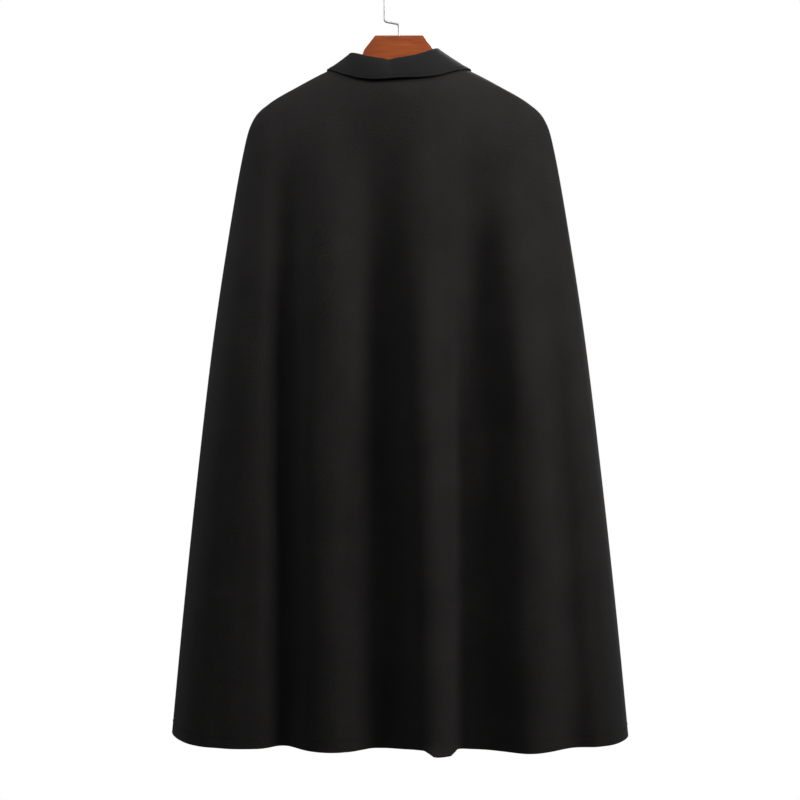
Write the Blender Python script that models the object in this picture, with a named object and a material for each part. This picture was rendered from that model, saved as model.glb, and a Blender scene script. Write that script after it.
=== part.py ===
"""A long black cape with a turn-down collar, hung on a flat wooden hanger.

Metres, +Z up. The origin is where the hanger's hook rests on a rail, at the underside of the
wire's highest point. The cape's front faces -Y and its wearer's left side is +X.

The cloth is one closed ring at every height. An angle runs round the ring: 0 at the centre back,
90 degrees at the seam on the +X side, 180 at the centre front. A level runs down it: 0 at the
neckline, and one more for each row of the section table, to the hem. The panels are cut from that
ring along the shoulder and side seams.
"""

import math
from collections import namedtuple

import bmesh
import bpy
import numpy as np
from mathutils import Vector

# Cloth
CLOTH = 0.0020
COLLAR_CLOTH = 0.0024
SEAM_GAP = 0.0003
LAYER_GAP = 0.0005

# The fronts lap over each other by twice FRONT_OVERLAP, and part into two layers on the way.
FRONT_OVERLAP = 0.035
LAYERS_MEET_X = 0.085
LAYERS_PART_X = 0.040

# How finely the cloth is faceted. Columns are closer at the seams, and rows at the neck.
BACK_COLUMNS = 48
FRONT_COLUMNS = 20
OVERLAP_COLUMNS = 4
BODY_ROWS = 22
SEAM_CROWDING = 1.4
NECK_CROWDING = 0.28

# The rings from the neck down. A ring passes through the seam at side_x, side_z, and sags to
# back_z and front_z at its middle. It is a slab of half thickness slab with ends as square as
# corner says, and its middle swells out by back_swell and front_swell.
Section = namedtuple(
    "Section", "side_x side_z back_z front_z slab corner back_swell front_swell"
)
SECTIONS = (
    Section(0.0780, -0.1240, -0.1510, -0.2050, 0.0580, 2.0, 0.002, 0.004),
    Section(0.1080, -0.1335, -0.1780, -0.2400, 0.0450, 2.8, 0.023, 0.024),
    Section(0.1500, -0.1550, -0.2220, -0.2860, 0.0390, 3.6, 0.033, 0.031),
    Section(0.1930, -0.1800, -0.2700, -0.3340, 0.0380, 4.0, 0.038, 0.034),
    Section(0.2190, -0.2070, -0.3180, -0.3820, 0.0400, 4.0, 0.039, 0.034),
    Section(0.2340, -0.2600, -0.3780, -0.4400, 0.0450, 4.2, 0.037, 0.032),
    Section(0.2555, -0.3850, -0.4780, -0.5300, 0.0550, 4.8, 0.031, 0.027),
    Section(0.2790, -0.5450, -0.6160, -0.6550, 0.0650, 5.5, 0.024, 0.021),
    Section(0.3030, -0.7500, -0.7890, -0.8130, 0.0750, 6.2, 0.017, 0.014),
    Section(0.3230, -0.9400, -0.9560, -0.9660, 0.0840, 6.6, 0.011, 0.009),
    Section(0.3405, -1.1280, -1.1310, -1.1330, 0.0910, 7.0, 0.006, 0.004),
)
HEM_LEVEL = len(SECTIONS) - 1
SAG_POWER = 2.3
SWELL_POWER = 2.6

# The cape has turned a little on the hanger: its +X side hangs further to the front.
TWIST_AT_HEM = math.radians(2.2)
TWIST_BEGINS_Z = -0.25
TWIST_ENDS_Z = -1.13

# The folds, seen from behind. Each is a ridge, or a trough where its height is negative, that
# runs down from begins_z, where it is flat, to full_z, where it has its height. Its middle moves
# from top_x to hem_x. Its flanks toward +X and -X are plus_width and minus_width wide.
Fold = namedtuple(
    "Fold", "top_x hem_x plus_width minus_width height begins_z full_z"
)
BACK_FOLDS = (
    Fold(0.255, 0.326, 0.030, 0.112, 0.031, -0.16, -0.56),
    Fold(0.168, 0.170, 0.020, 0.028, -0.025, -0.16, -0.52),
    Fold(0.106, 0.104, 0.040, 0.040, 0.021, -0.14, -0.50),
    Fold(0.036, 0.026, 0.032, 0.032, -0.017, -0.13, -0.46),
    Fold(-0.030, -0.047, 0.036, 0.027, 0.029, -0.15, -0.66),
    Fold(-0.110, -0.102, 0.026, 0.032, -0.017, -0.17, -0.50),
    Fold(-0.178, -0.192, 0.038, 0.042, 0.026, -0.16, -0.60),
    Fold(-0.205, -0.255, 0.024, 0.026, -0.008, -0.26, -0.66),
    Fold(-0.240, -0.318, 0.040, 0.030, 0.018, -0.22, -0.66),
)
FRONT_FOLDS = (
    Fold(0.208, 0.272, 0.038, 0.044, 0.012, -0.24, -0.85),
    Fold(0.160, 0.205, 0.034, 0.034, -0.020, -0.21, -0.75),
    Fold(0.105, 0.130, 0.036, 0.034, 0.026, -0.22, -0.80),
    Fold(0.062, 0.066, 0.024, 0.020, -0.009, -0.26, -0.75),
    Fold(-0.066, -0.078, 0.022, 0.026, -0.011, -0.26, -0.75),
    Fold(-0.110, -0.140, 0.032, 0.040, 0.022, -0.22, -0.78),
    Fold(-0.165, -0.206, 0.036, 0.034, -0.022, -0.21, -0.75),
    Fold(-0.214, -0.262, 0.040, 0.040, 0.014, -0.24, -0.85),
)
FOLD_POWER = 2.2
FOLD_TOP_Z = -0.15
FOLD_HEM_Z = -1.13
FOLD_FADE_POWER = 8.0

# The collar, at stations round the neck. The stand rises by stand_height and leans in by lean,
# and the fall lies on the cape down to fall_level, standing off it by lift at its edge.
CollarStation = namedtuple(
    "CollarStation", "angle stand_height lean fall_level lift"
)
COLLAR_STATIONS = (
    CollarStation(0, 0.0290, 0.0030, 0.20, 0.0060),
    CollarStation(45, 0.0265, 0.0045, 0.58, 0.0045),
    CollarStation(90, 0.0195, 0.0095, 0.97, 0.0008),
    CollarStation(135, 0.0200, 0.0040, 1.10, 0.0036),
    CollarStation(180, 0.0200, 0.0020, 1.30, 0.0056),
)
COLLAR_FRONT_GAP = math.radians(1.6)
COLLAR_SPREAD = 0.030
SPREAD_BEGINS = math.radians(135)
FOLD_OVER_RADIUS = 0.0026
STAND_TURN = 0.006
STAND_SHARES = (0.0, 0.4, 1.0)
FOLD_OVER_TURNS = (128.0, 78.0, 28.0)
FALL_SHARES = (0.28, 0.52, 0.76, 1.0)
FALL_RISE_POWER = 1.3
FALL_LEAN_POWER = 1.6

# The collar has slipped a little to the +X side, where it lies lower.
COLLAR_TILT = 0.045
COLLAR_SLIP = 0.007
COLLAR_SLIP_LEVEL = 0.10

# The button at the neck
BUTTON_LEVEL = 0.85
BUTTON_RADIUS = 0.0125
BUTTON_EDGE = 0.0006
BUTTON_SIDES = 20
BUTTON_HOLE_SIDES = 8
BUTTON_RIM = 0.0022
BUTTON_THICKNESS = 0.0038
BUTTON_DISH = 0.0010
BUTTON_HOLE_RADIUS = 0.0012
BUTTON_HOLE_PITCH = 0.0026
BUTTON_SEAT_GAP = 0.0003

# The hanger's wooden body, flat and symmetric. Its outline runs from the neck's square top out
# along the arms, whose top follows the shoulder seam from inside.
WOOD_TOP_Z = -0.0790
WOOD_HALF_THICKNESS = 0.0066
WOOD_NECK_EDGE = 0.0016
ARM_CLEARANCE = 0.0023
WoodRing = namedtuple("WoodRing", "x top_z bottom_z edge")
NECK_RINGS = (
    WoodRing(0.0, WOOD_TOP_Z, -0.1440, WOOD_NECK_EDGE),
    WoodRing(0.0350, WOOD_TOP_Z, -0.1465, WOOD_NECK_EDGE),
    WoodRing(0.0362, -0.0798, -0.1466, WOOD_NECK_EDGE),
    WoodRing(0.0520, -0.1000, -0.1490, 0.0026),
    WoodRing(0.0590, -0.1180, -0.1510, 0.0046),
    WoodRing(0.0700, -0.1280, -0.1530, 0.0066),
    WoodRing(0.0860, -0.1325, -0.1560, 0.0066),
)
ARM_STARTS_X = 0.100
ARM_ENDS_X = 0.198
ARM_RINGS = 6
ARM_HEIGHT_AT_START = 0.0250
ARM_HEIGHT_AT_END = 0.0200
TIP_LENGTH = 0.0090
TIP_DROP = 0.0040
TIP_TURNS = (32.0, 58.0, 78.0)
WOOD_CORNER_STEPS = 2

# The hook, bent from one wire. Its stem stands in a hole in the wood.
WIRE_RADIUS = 0.0017
HOOK_RADIUS = 0.0215
STEM_DEPTH = 0.0200
STEM_HOLE_DEPTH = 0.0203
STEM_HOLE_RADIUS = 0.0020
STEM_RISE = 0.0179
JOG_RISE = 0.0040
BEND_RADIUS = 0.0040
HOOK_SWEEP = math.radians(188)

MATERIALS = {
    "cape_cloth": ((0.012, 0.0115, 0.0115), 0.95),
    "collar_cloth": ((0.014, 0.0130, 0.0130), 0.93),
    "button_plastic": ((0.010, 0.0100, 0.0110), 0.35),
    "hanger_wood": ((0.320, 0.0850, 0.0220), 0.40),
    "hook_wire": ((0.620, 0.6200, 0.6300), 0.25),
}
METALS = ("hook_wire",)


def clear_scene():
    for old in list(bpy.data.objects):
        bpy.data.objects.remove(old)


def material(name):
    colour, roughness = MATERIALS[name]
    made = bpy.data.materials.new(name)
    made.use_nodes = True
    shader = made.node_tree.nodes["Principled BSDF"]
    shader.inputs["Base Color"].default_value = (*colour, 1.0)
    shader.inputs["Roughness"].default_value = roughness
    shader.inputs["Metallic"].default_value = float(name in METALS)
    return made


def add_object(name, data, surface):
    data.materials.append(surface)
    made = bpy.data.objects.new(name, data)
    bpy.context.scene.collection.objects.link(made)
    return made


def smooth_step(value, begins, ends):
    share = np.clip((value - begins) / (ends - begins), 0.0, 1.0)
    return share * share * (3.0 - 2.0 * share)


def through_rows(rows, level):
    """Each column of the rows at a level between them, on one smooth curve through all."""
    table = np.array(rows, float)
    padded = np.vstack([2 * table[0] - table[1], table, 2 * table[-1] - table[-2]])
    level = np.clip(np.asarray(level, float), 0.0, len(rows) - 1.0)
    first = np.minimum(level.astype(int), len(rows) - 2)
    part = (level - first)[..., None]
    before, start, end, after = (padded[first + step] for step in range(4))
    return 0.5 * (
        2 * start
        + (end - before) * part
        + (2 * before - 5 * start + 4 * end - after) * part**2
        + (3 * start - 3 * end + after - before) * part**3
    )


def fold_depth(folds, x, z):
    """How far the folds push the cloth out at x and z."""
    depth = np.zeros_like(x)
    down = np.clip((z - FOLD_TOP_Z) / (FOLD_HEM_Z - FOLD_TOP_Z), 0.0, 1.0)
    for fold in folds:
        middle = fold.top_x + (fold.hem_x - fold.top_x) * down
        width = np.where(x > middle, fold.plus_width, fold.minus_width)
        bell = np.exp(-(np.abs((x - middle) / width) ** FOLD_POWER))
        depth += fold.height * smooth_step(z, fold.begins_z, fold.full_z) * bell
    return depth


def cape_points(angle, level):
    """Points of the cloth's middle surface, for arrays of angles and levels."""
    angle, level = np.broadcast_arrays(np.asarray(angle, float), np.asarray(level, float))
    columns = np.moveaxis(through_rows(SECTIONS, level), -1, 0)
    side_x, side_z, back_z, front_z, slab, corner, back_swell, front_swell = columns
    across, toward_back = np.sin(angle), np.cos(angle)
    at_back = toward_back >= 0
    middle_z = np.where(at_back, back_z, front_z)
    swell = np.where(at_back, back_swell, front_swell)
    share = np.minimum(np.abs(across), 1.0)
    x = across * side_x
    z = side_z + (middle_z - side_z) * (1 - share**SAG_POWER)
    # The square root below is a square-ended slab's rim, divided by a circle's.
    cosine_squared = np.maximum(1 - share**2, 1e-9)
    rim = np.sqrt(np.maximum(1 - share**corner, 0.5e-9 * corner) / cosine_squared)
    y = toward_back * (slab * rim + swell * np.abs(toward_back) ** (SWELL_POWER - 1))
    folds = np.where(at_back, fold_depth(BACK_FOLDS, x, z), fold_depth(FRONT_FOLDS, x, z))
    y = y + np.sign(toward_back) * folds * (1 - share**FOLD_FADE_POWER)
    y = y - x * np.tan(TWIST_AT_HEM) * smooth_step(z, TWIST_BEGINS_Z, TWIST_ENDS_Z)
    return np.stack([x, y, z], axis=-1)


def cape_normals(angle, level):
    """The cloth's outward normals there, and the direction up along the cloth."""
    step_angle, step_level = 1e-3, 1e-2
    around = cape_points(angle + step_angle, level) - cape_points(angle - step_angle, level)
    lower = np.minimum(level + step_level, HEM_LEVEL)
    upper = np.maximum(level - step_level, 0.0)
    down = cape_points(angle, lower) - cape_points(angle, upper)
    normal = np.cross(around, down)
    normal /= np.linalg.norm(normal, axis=-1, keepdims=True)
    return normal, -down / np.linalg.norm(down, axis=-1, keepdims=True)


def body_levels(rows):
    """Levels of the rows of facets, close together at the neck and wider apart below."""
    share = np.linspace(0.0, 1.0, rows + 1)
    return HEM_LEVEL * ((1 - NECK_CROWDING) * share + NECK_CROWDING * share**2)


def even_angles(begin, end, count):
    """Angles that cut a low ring into nearly equal lengths, shorter toward the seams."""
    fine = np.linspace(begin, end, 600)
    points = cape_points(fine, HEM_LEVEL - 2.0)
    lengths = np.linalg.norm(np.diff(points, axis=0), axis=1)
    lengths *= 1 + SEAM_CROWDING * np.abs(np.sin((fine[1:] + fine[:-1]) / 2)) ** 12
    run = np.concatenate([[0.0], np.cumsum(lengths)])
    return np.interp(np.linspace(0.0, run[-1], count + 1), run, fine)


def grid_surface(points, normals, thickness):
    """A closed wall round a grid of middle points, as vertices and triangles."""
    rows, columns = points.shape[:2]
    outer = (points + normals * thickness / 2).reshape(-1, 3)
    inner = (points - normals * thickness / 2).reshape(-1, 3)
    count = rows * columns
    index = np.arange(count).reshape(rows, columns)
    a, b = index[:-1, :-1].ravel(), index[:-1, 1:].ravel()
    c, d = index[1:, 1:].ravel(), index[1:, :-1].ravel()
    skin = np.concatenate([np.stack([a, b, c], 1), np.stack([a, c, d], 1)])
    faces = [skin, skin[:, ::-1] + count]
    border = np.concatenate(
        [index[0, :-1], index[:-1, -1], index[-1, :0:-1], index[:0:-1, 0]]
    )
    following = np.roll(border, -1)
    faces.append(np.stack([following, border, border + count], 1))
    faces.append(np.stack([following, border + count, following + count], 1))
    return np.vstack([outer, inner]), np.vstack(faces)


def add_wall(name, points, normals, thickness, surface):
    vertices, faces = grid_surface(points, normals, thickness)
    mesh = bpy.data.meshes.new(name)
    mesh.from_pydata(vertices.tolist(), [], faces.tolist())
    mesh.shade_smooth()
    mesh.set_sharp_from_angle(angle=math.radians(50))
    return add_object(name, mesh, surface)


def add_back(surface):
    levels = body_levels(BODY_ROWS)[:, None]
    angles = even_angles(-math.pi / 2, math.pi / 2, BACK_COLUMNS)[None, :]
    points = cape_points(angles, levels)
    normals, _ = cape_normals(*np.broadcast_arrays(angles, levels))
    points[..., 1] += SEAM_GAP / 2
    return add_wall("back", points, normals, CLOTH, surface)


def front_angles(levels, side):
    """The angles of a front panel's columns at each level, from its seam past the centre."""
    widths = through_rows(SECTIONS, levels)[:, :1]
    overlap_x = np.linspace(FRONT_OVERLAP, -FRONT_OVERLAP, 2 * OVERLAP_COLUMNS + 1)
    overlap = math.pi - np.arcsin(overlap_x[None, :] / widths)
    even = even_angles(math.pi / 2, overlap[-1, 0], FRONT_COLUMNS)
    share = (even - even[0]) / (even[-1] - even[0])
    panel = math.pi / 2 + (overlap[:, :1] - math.pi / 2) * share[None, :]
    if side > 0:
        return np.hstack([panel, overlap[:, 1:]])
    mirrored = 2 * math.pi - panel[:, ::-1]
    return np.hstack([overlap[:, :-1], mirrored])


def add_front(name, side, surface):
    """A front panel: side is +1 for the wearer's left, on top, and -1 for the right, under it."""
    levels = body_levels(BODY_ROWS)
    angles = front_angles(levels, side)
    levels = np.broadcast_to(levels[:, None], angles.shape)
    points = cape_points(angles, levels)
    normals, _ = cape_normals(angles, levels)
    parted = smooth_step(points[..., 0] * side, LAYERS_MEET_X, LAYERS_PART_X)
    away = (CLOTH + LAYER_GAP) / 2 * parted
    points = points + normals * (side * away)[..., None]
    points[..., 1] -= SEAM_GAP / 2
    return add_wall(name, points, normals, CLOTH, surface)


def collar_profile(angle):
    """The collar's middle line at one place on the neck, from the neck seam to its edge."""
    station_angle = abs(math.degrees(angle))
    rows = np.array([station[1:] for station in COLLAR_STATIONS])
    spacing = COLLAR_STATIONS[1].angle
    both_sides = np.vstack([rows[:0:-1], rows])
    height, lean, fall_level, lift = through_rows(
        both_sides, station_angle / spacing + len(rows) - 1
    )
    height = height - COLLAR_TILT * math.sin(angle) * SECTIONS[0].side_x
    if abs(angle) < math.pi / 2:
        fall_level = fall_level + COLLAR_SLIP_LEVEL * math.sin(2 * angle)
    neck = cape_points(angle, 0.0)
    _, up_cloth = cape_normals(np.array(angle), np.array(0.0))
    outward = np.array([neck[0], neck[1], 0.0])
    outward /= np.linalg.norm(outward)
    up = np.array([0.0, 0.0, 1.0])

    # The stand leaves the neckline along the cloth, then turns upright.
    start = neck + up_cloth * SEAM_GAP
    turn = start + up_cloth * STAND_TURN
    slip = np.array([COLLAR_SLIP * smooth_step(abs(angle), math.pi, math.pi / 2), 0.0, 0.0])
    fold_middle = (
        neck + up * (height - FOLD_OVER_RADIUS) - outward * (lean + FOLD_OVER_RADIUS) + slip
    )
    top = fold_middle - outward * FOLD_OVER_RADIUS
    share = np.array(STAND_SHARES)[:, None]
    stand = (1 - share) ** 2 * start + 2 * share * (1 - share) * turn + share**2 * top

    # It folds over a small round.
    turns = np.radians(FOLD_OVER_TURNS)[:, None]
    fold = fold_middle + FOLD_OVER_RADIUS * (outward * np.cos(turns) + up * np.sin(turns))

    # The fall comes down from there to lie on the cape.
    share = np.array(FALL_SHARES)
    spread = COLLAR_SPREAD * smooth_step(abs(angle), SPREAD_BEGINS, math.pi)
    levels = share * fall_level
    widths = through_rows(SECTIONS, levels)[:, 0]
    angles = angle - math.copysign(1.0, angle) * spread * share / widths
    points = cape_points(angles, levels)
    normals, _ = cape_normals(angles, levels)
    standing_off = ((COLLAR_CLOTH + CLOTH) / 2 + lift) * smooth_step(share, -0.5, 0.6)
    rise = (height - FOLD_OVER_RADIUS) * (1 - share) ** FALL_RISE_POWER
    fall = (
        points
        + normals * standing_off[:, None]
        + up * rise[:, None]
        + (slip - outward * lean) * ((1 - share) ** FALL_LEAN_POWER)[:, None]
    )
    return np.vstack([stand, fold, fall])


def add_collar(surface):
    """The collar's columns are every second one of the panels', and its ends stop at the front."""
    back = even_angles(-math.pi / 2, math.pi / 2, BACK_COLUMNS)[::2]
    front = front_angles(np.zeros(1), 1)[0, 2 : FRONT_COLUMNS + OVERLAP_COLUMNS : 2]
    front = np.append(front, math.pi - COLLAR_FRONT_GAP)
    angles = np.concatenate([-front[::-1], back, front])
    points = np.stack([collar_profile(angle) for angle in angles], axis=1)
    around = np.gradient(points, axis=1)
    down = np.gradient(points, axis=0)
    normals = np.cross(around, down)
    normals[0] = -cape_normals(angles, np.zeros_like(angles))[0]
    normals /= np.linalg.norm(normals, axis=-1, keepdims=True)
    return add_wall("collar", points, normals, COLLAR_CLOTH, surface)


def cut_with(target, cutter):
    """Takes the cutter out of the target. The cutter itself is only a guide."""
    cut = target.modifiers.new("cut", "BOOLEAN")
    cut.operation = "DIFFERENCE"
    cut.object = cutter
    cutter.hide_render = True
    cutter.display_type = "WIRE"


def turned_solid(bm, profile, segments):
    """A round solid from a profile of (radius, height) points, from axis to axis."""
    rings = [
        [
            bm.verts.new((r * math.cos(turn), r * math.sin(turn), height))
            for turn in np.linspace(0.0, 2 * math.pi, segments, endpoint=False)
        ]
        for r, height in profile
    ]
    for lower, higher in zip(rings, rings[1:]):
        for i in range(segments):
            j = (i + 1) % segments
            bm.faces.new((lower[i], lower[j], higher[j], higher[i]))
    bm.faces.new(rings[0][::-1])
    bm.faces.new(rings[-1])


def add_button(surface):
    """A four-hole button that lies on the left front, over the centre line."""
    angle, level = np.array(math.pi), np.array(BUTTON_LEVEL)
    normal, up_cloth = cape_normals(angle, level)
    outer_layer = (CLOTH + LAYER_GAP) / 2 + CLOTH / 2
    seat = cape_points(angle, level) + normal * (outer_layer + BUTTON_SEAT_GAP)
    bm = bmesh.new()
    profile = (
        (BUTTON_RADIUS - BUTTON_EDGE, 0.0),
        (BUTTON_RADIUS, BUTTON_EDGE),
        (BUTTON_RADIUS, BUTTON_THICKNESS - BUTTON_EDGE),
        (BUTTON_RADIUS - BUTTON_EDGE, BUTTON_THICKNESS),
        (BUTTON_RADIUS - BUTTON_RIM, BUTTON_THICKNESS),
        (BUTTON_RADIUS - BUTTON_RIM - BUTTON_EDGE, BUTTON_THICKNESS - BUTTON_DISH),
    )
    turned_solid(bm, profile, BUTTON_SIDES)
    mesh = bpy.data.meshes.new("neck_button")
    bm.to_mesh(mesh)
    bm.free()
    mesh.shade_smooth()
    mesh.set_sharp_from_angle(angle=math.radians(40))
    button = add_object("neck_button", mesh, surface)

    bm = bmesh.new()
    for x in (-BUTTON_HOLE_PITCH, BUTTON_HOLE_PITCH):
        for y in (-BUTTON_HOLE_PITCH, BUTTON_HOLE_PITCH):
            made = bmesh.ops.create_cone(
                bm,
                cap_ends=True,
                segments=BUTTON_HOLE_SIDES,
                radius1=BUTTON_HOLE_RADIUS,
                radius2=BUTTON_HOLE_RADIUS,
                depth=4 * BUTTON_THICKNESS,
            )
            bmesh.ops.translate(bm, verts=made["verts"], vec=(x, y, 0.0))
    cutter_mesh = bpy.data.meshes.new("button_holes")
    bm.to_mesh(cutter_mesh)
    bm.free()
    cutter = add_object("button_holes", cutter_mesh, surface)
    cutter.parent = button
    cut_with(button, cutter)
    button.location = Vector(seat)
    button.rotation_mode = "QUATERNION"
    button.rotation_quaternion = Vector(normal).to_track_quat("Z", "Y")
    return button


def shoulder_line(x):
    """Height of the cape's shoulder seam above a place on the arm, and the seam's slope there."""
    levels = np.linspace(0.0, 5.0, 400)
    line = cape_points(math.pi / 2, levels)
    z = np.interp(x, line[:, 0], line[:, 2])
    step = 0.002
    slope = (np.interp(x + step, line[:, 0], line[:, 2]) - z) / step
    return z, slope


def wood_rings():
    """The hanger's rings from its middle out to one tip."""
    rings = list(NECK_RINGS)
    for x in np.linspace(ARM_STARTS_X, ARM_ENDS_X, ARM_RINGS):
        seam_z, slope = shoulder_line(x)
        top_z = seam_z - ARM_CLEARANCE * math.hypot(1.0, slope)
        share = (x - ARM_STARTS_X) / (ARM_ENDS_X - ARM_STARTS_X)
        height = ARM_HEIGHT_AT_START + (ARM_HEIGHT_AT_END - ARM_HEIGHT_AT_START) * share
        rings.append(WoodRing(x, top_z, top_z - height, WOOD_HALF_THICKNESS))
    for turn in np.radians(TIP_TURNS):
        x = ARM_ENDS_X + TIP_LENGTH * math.sin(turn)
        seam_z, slope = shoulder_line(x)
        top_z = seam_z - ARM_CLEARANCE * math.hypot(1.0, slope) - TIP_DROP * (1 - math.cos(turn))
        height = ARM_HEIGHT_AT_END * math.cos(turn)
        edge = min(WOOD_HALF_THICKNESS, 0.49 * height)
        rings.append(WoodRing(x, top_z, top_z - height, edge))
    return rings


def wood_section(ring):
    """Points round one ring: a rectangle with four rounded edges."""
    points = []
    half = WOOD_HALF_THICKNESS
    for corner, (side, end) in enumerate(((1, 1), (-1, 1), (-1, -1), (1, -1))):
        centre_y = side * (half - ring.edge)
        centre_z = ring.top_z - ring.edge if end > 0 else ring.bottom_z + ring.edge
        for step in range(WOOD_CORNER_STEPS + 1):
            turn = math.pi / 2 * (corner + step / WOOD_CORNER_STEPS)
            points.append(
                (
                    ring.x,
                    centre_y + ring.edge * math.cos(turn),
                    centre_z + ring.edge * math.sin(turn),
                )
            )
    return points


def add_hanger_wood(surface):
    half = wood_rings()
    mirrored = [ring._replace(x=-ring.x) for ring in half[:0:-1]]
    bm = bmesh.new()
    loops = [[bm.verts.new(point) for point in wood_section(ring)] for ring in mirrored + half]
    for near, far in zip(loops, loops[1:]):
        for i in range(len(near)):
            j = (i + 1) % len(near)
            bm.faces.new((near[i], near[j], far[j], far[i]))
    bm.faces.new(loops[0][::-1])
    bm.faces.new(loops[-1])
    bmesh.ops.remove_doubles(bm, verts=bm.verts, dist=1e-5)
    bmesh.ops.recalc_face_normals(bm, faces=bm.faces)
    mesh = bpy.data.meshes.new("hanger_wood")
    bm.to_mesh(mesh)
    bm.free()
    mesh.shade_smooth()
    mesh.set_sharp_from_angle(angle=math.radians(35))
    wood = add_object("hanger_wood", mesh, surface)

    bm = bmesh.new()
    bmesh.ops.create_cone(
        bm,
        cap_ends=True,
        segments=16,
        radius1=STEM_HOLE_RADIUS,
        radius2=STEM_HOLE_RADIUS,
        depth=2 * STEM_HOLE_DEPTH,
    )
    cutter_mesh = bpy.data.meshes.new("stem_hole")
    bm.to_mesh(cutter_mesh)
    bm.free()
    cutter = add_object("stem_hole", cutter_mesh, surface)
    cutter.location = (0.0, 0.0, WOOD_TOP_Z)
    cut_with(wood, cutter)
    return wood


def rounded_path(corners, radius, steps):
    """The path through the corners, with each inner corner rounded by an arc-like curve."""
    corners = [Vector(corner) for corner in corners]
    path = [corners[0]]
    for before, corner, after in zip(corners, corners[1:], corners[2:]):
        begin = corner + (before - corner).normalized() * radius
        end = corner + (after - corner).normalized() * radius
        for share in np.linspace(0.0, 1.0, steps):
            path.append((1 - share) ** 2 * begin + 2 * share * (1 - share) * corner + share**2 * end)
    path.append(corners[-1])
    return path


def add_hanger_hook(surface):
    """The hook in the plane of the hanger: a stem, a jog to +X, a straight, and a round crook."""
    centre_z = WIRE_RADIUS - HOOK_RADIUS
    stem_foot = (0.0, 0.0, WOOD_TOP_Z - STEM_DEPTH)
    stem_head = (0.0, 0.0, WOOD_TOP_Z + STEM_RISE)
    jog_end = (HOOK_RADIUS, 0.0, WOOD_TOP_Z + STEM_RISE + JOG_RISE)
    crook_start = (HOOK_RADIUS, 0.0, centre_z)
    path = rounded_path((stem_foot, stem_head, jog_end, crook_start), BEND_RADIUS, 5)
    for turn in np.linspace(0.0, HOOK_SWEEP, 22)[1:]:
        path.append(
            Vector((HOOK_RADIUS * math.cos(turn), 0.0, centre_z + HOOK_RADIUS * math.sin(turn)))
        )
    curve = bpy.data.curves.new("hanger_hook", "CURVE")
    curve.dimensions = "3D"
    curve.bevel_depth = WIRE_RADIUS
    curve.bevel_resolution = 2
    curve.use_fill_caps = True
    spline = curve.splines.new("POLY")
    spline.points.add(len(path) - 1)
    for point, place in zip(spline.points, path):
        point.co = (*place, 1.0)
    spline.use_smooth = True
    return add_object("hanger_hook", curve, surface)


def main():
    clear_scene()
    surfaces = {name: material(name) for name in MATERIALS}
    add_back(surfaces["cape_cloth"])
    add_front("front_left", 1, surfaces["cape_cloth"])
    add_front("front_right", -1, surfaces["cape_cloth"])
    add_collar(surfaces["collar_cloth"])
    add_button(surfaces["button_plastic"])
    add_hanger_wood(surfaces["hanger_wood"])
    add_hanger_hook(surfaces["hook_wire"])


main()
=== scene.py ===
# %% [markdown]
# # A long black cape on a wooden hanger
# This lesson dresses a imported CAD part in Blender. The part is a cape of brushed cloth that
# hangs on a flat wooden hanger: one back panel, two fronts that lap at the centre, a turn-down
# collar and one button. The solids already hold the garment's true form. Here each piece gets a
# finer surface, its seams and stitches, and a finish that takes the light as the real one does.
#
# Everything is in metres, +Z is up, and the origin is where the hook rests on a rail. The back
# of the cape faces +Y, and the wearer's left side is +X.

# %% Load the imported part
import math
from collections import namedtuple

import bmesh
import bpy
import numpy as np
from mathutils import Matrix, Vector


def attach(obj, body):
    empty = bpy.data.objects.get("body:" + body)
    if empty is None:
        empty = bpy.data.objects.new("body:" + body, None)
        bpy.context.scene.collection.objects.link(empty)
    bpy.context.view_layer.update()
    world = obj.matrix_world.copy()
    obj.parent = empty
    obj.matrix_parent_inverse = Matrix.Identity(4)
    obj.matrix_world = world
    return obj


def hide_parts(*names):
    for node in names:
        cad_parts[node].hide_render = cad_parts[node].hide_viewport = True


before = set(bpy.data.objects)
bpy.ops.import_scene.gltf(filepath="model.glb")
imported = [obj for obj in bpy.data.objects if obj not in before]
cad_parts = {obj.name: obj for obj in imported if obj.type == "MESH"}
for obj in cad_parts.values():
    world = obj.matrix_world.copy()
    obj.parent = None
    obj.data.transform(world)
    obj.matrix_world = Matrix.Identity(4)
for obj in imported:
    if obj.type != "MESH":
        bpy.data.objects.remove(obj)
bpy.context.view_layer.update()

print("nodes:", sorted(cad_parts))

# %% [markdown]
# ## The camera
# The photograph looks at the back of the cape from its own height, square on, from about two and
# a half metres. A level camera keeps the vertical folds upright. It is described by its place
# and its lens, so any other view can start from the same numbers.

# %% Camera
CAMERA_PLACE = (-0.0015, 2.5, -0.6248)
CAMERA_LENS_MM = 75.0


def add_object(name, data):
    """Puts a camera, a light or a mesh into the scene as an object."""
    made = bpy.data.objects.new(name, data)
    bpy.context.scene.collection.objects.link(made)
    return made


camera_data = bpy.data.cameras.new("camera")
camera_data.lens = CAMERA_LENS_MM
camera_data.sensor_width = 36.0
camera = add_object("camera", camera_data)
camera.location = CAMERA_PLACE
camera.rotation_euler = (math.radians(90), 0.0, math.radians(180))
bpy.context.scene.camera = camera
print("camera at", CAMERA_PLACE, "with a lens of", CAMERA_LENS_MM, "mm")

# %% [markdown]
# ## Helpers for nodes
# The sky, the floor, every finish and the stitches are made with trees of nodes. One function
# sets a node up and a second adds a node, so that a tree can be read like a list of parts.

# %% Node helpers


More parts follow.
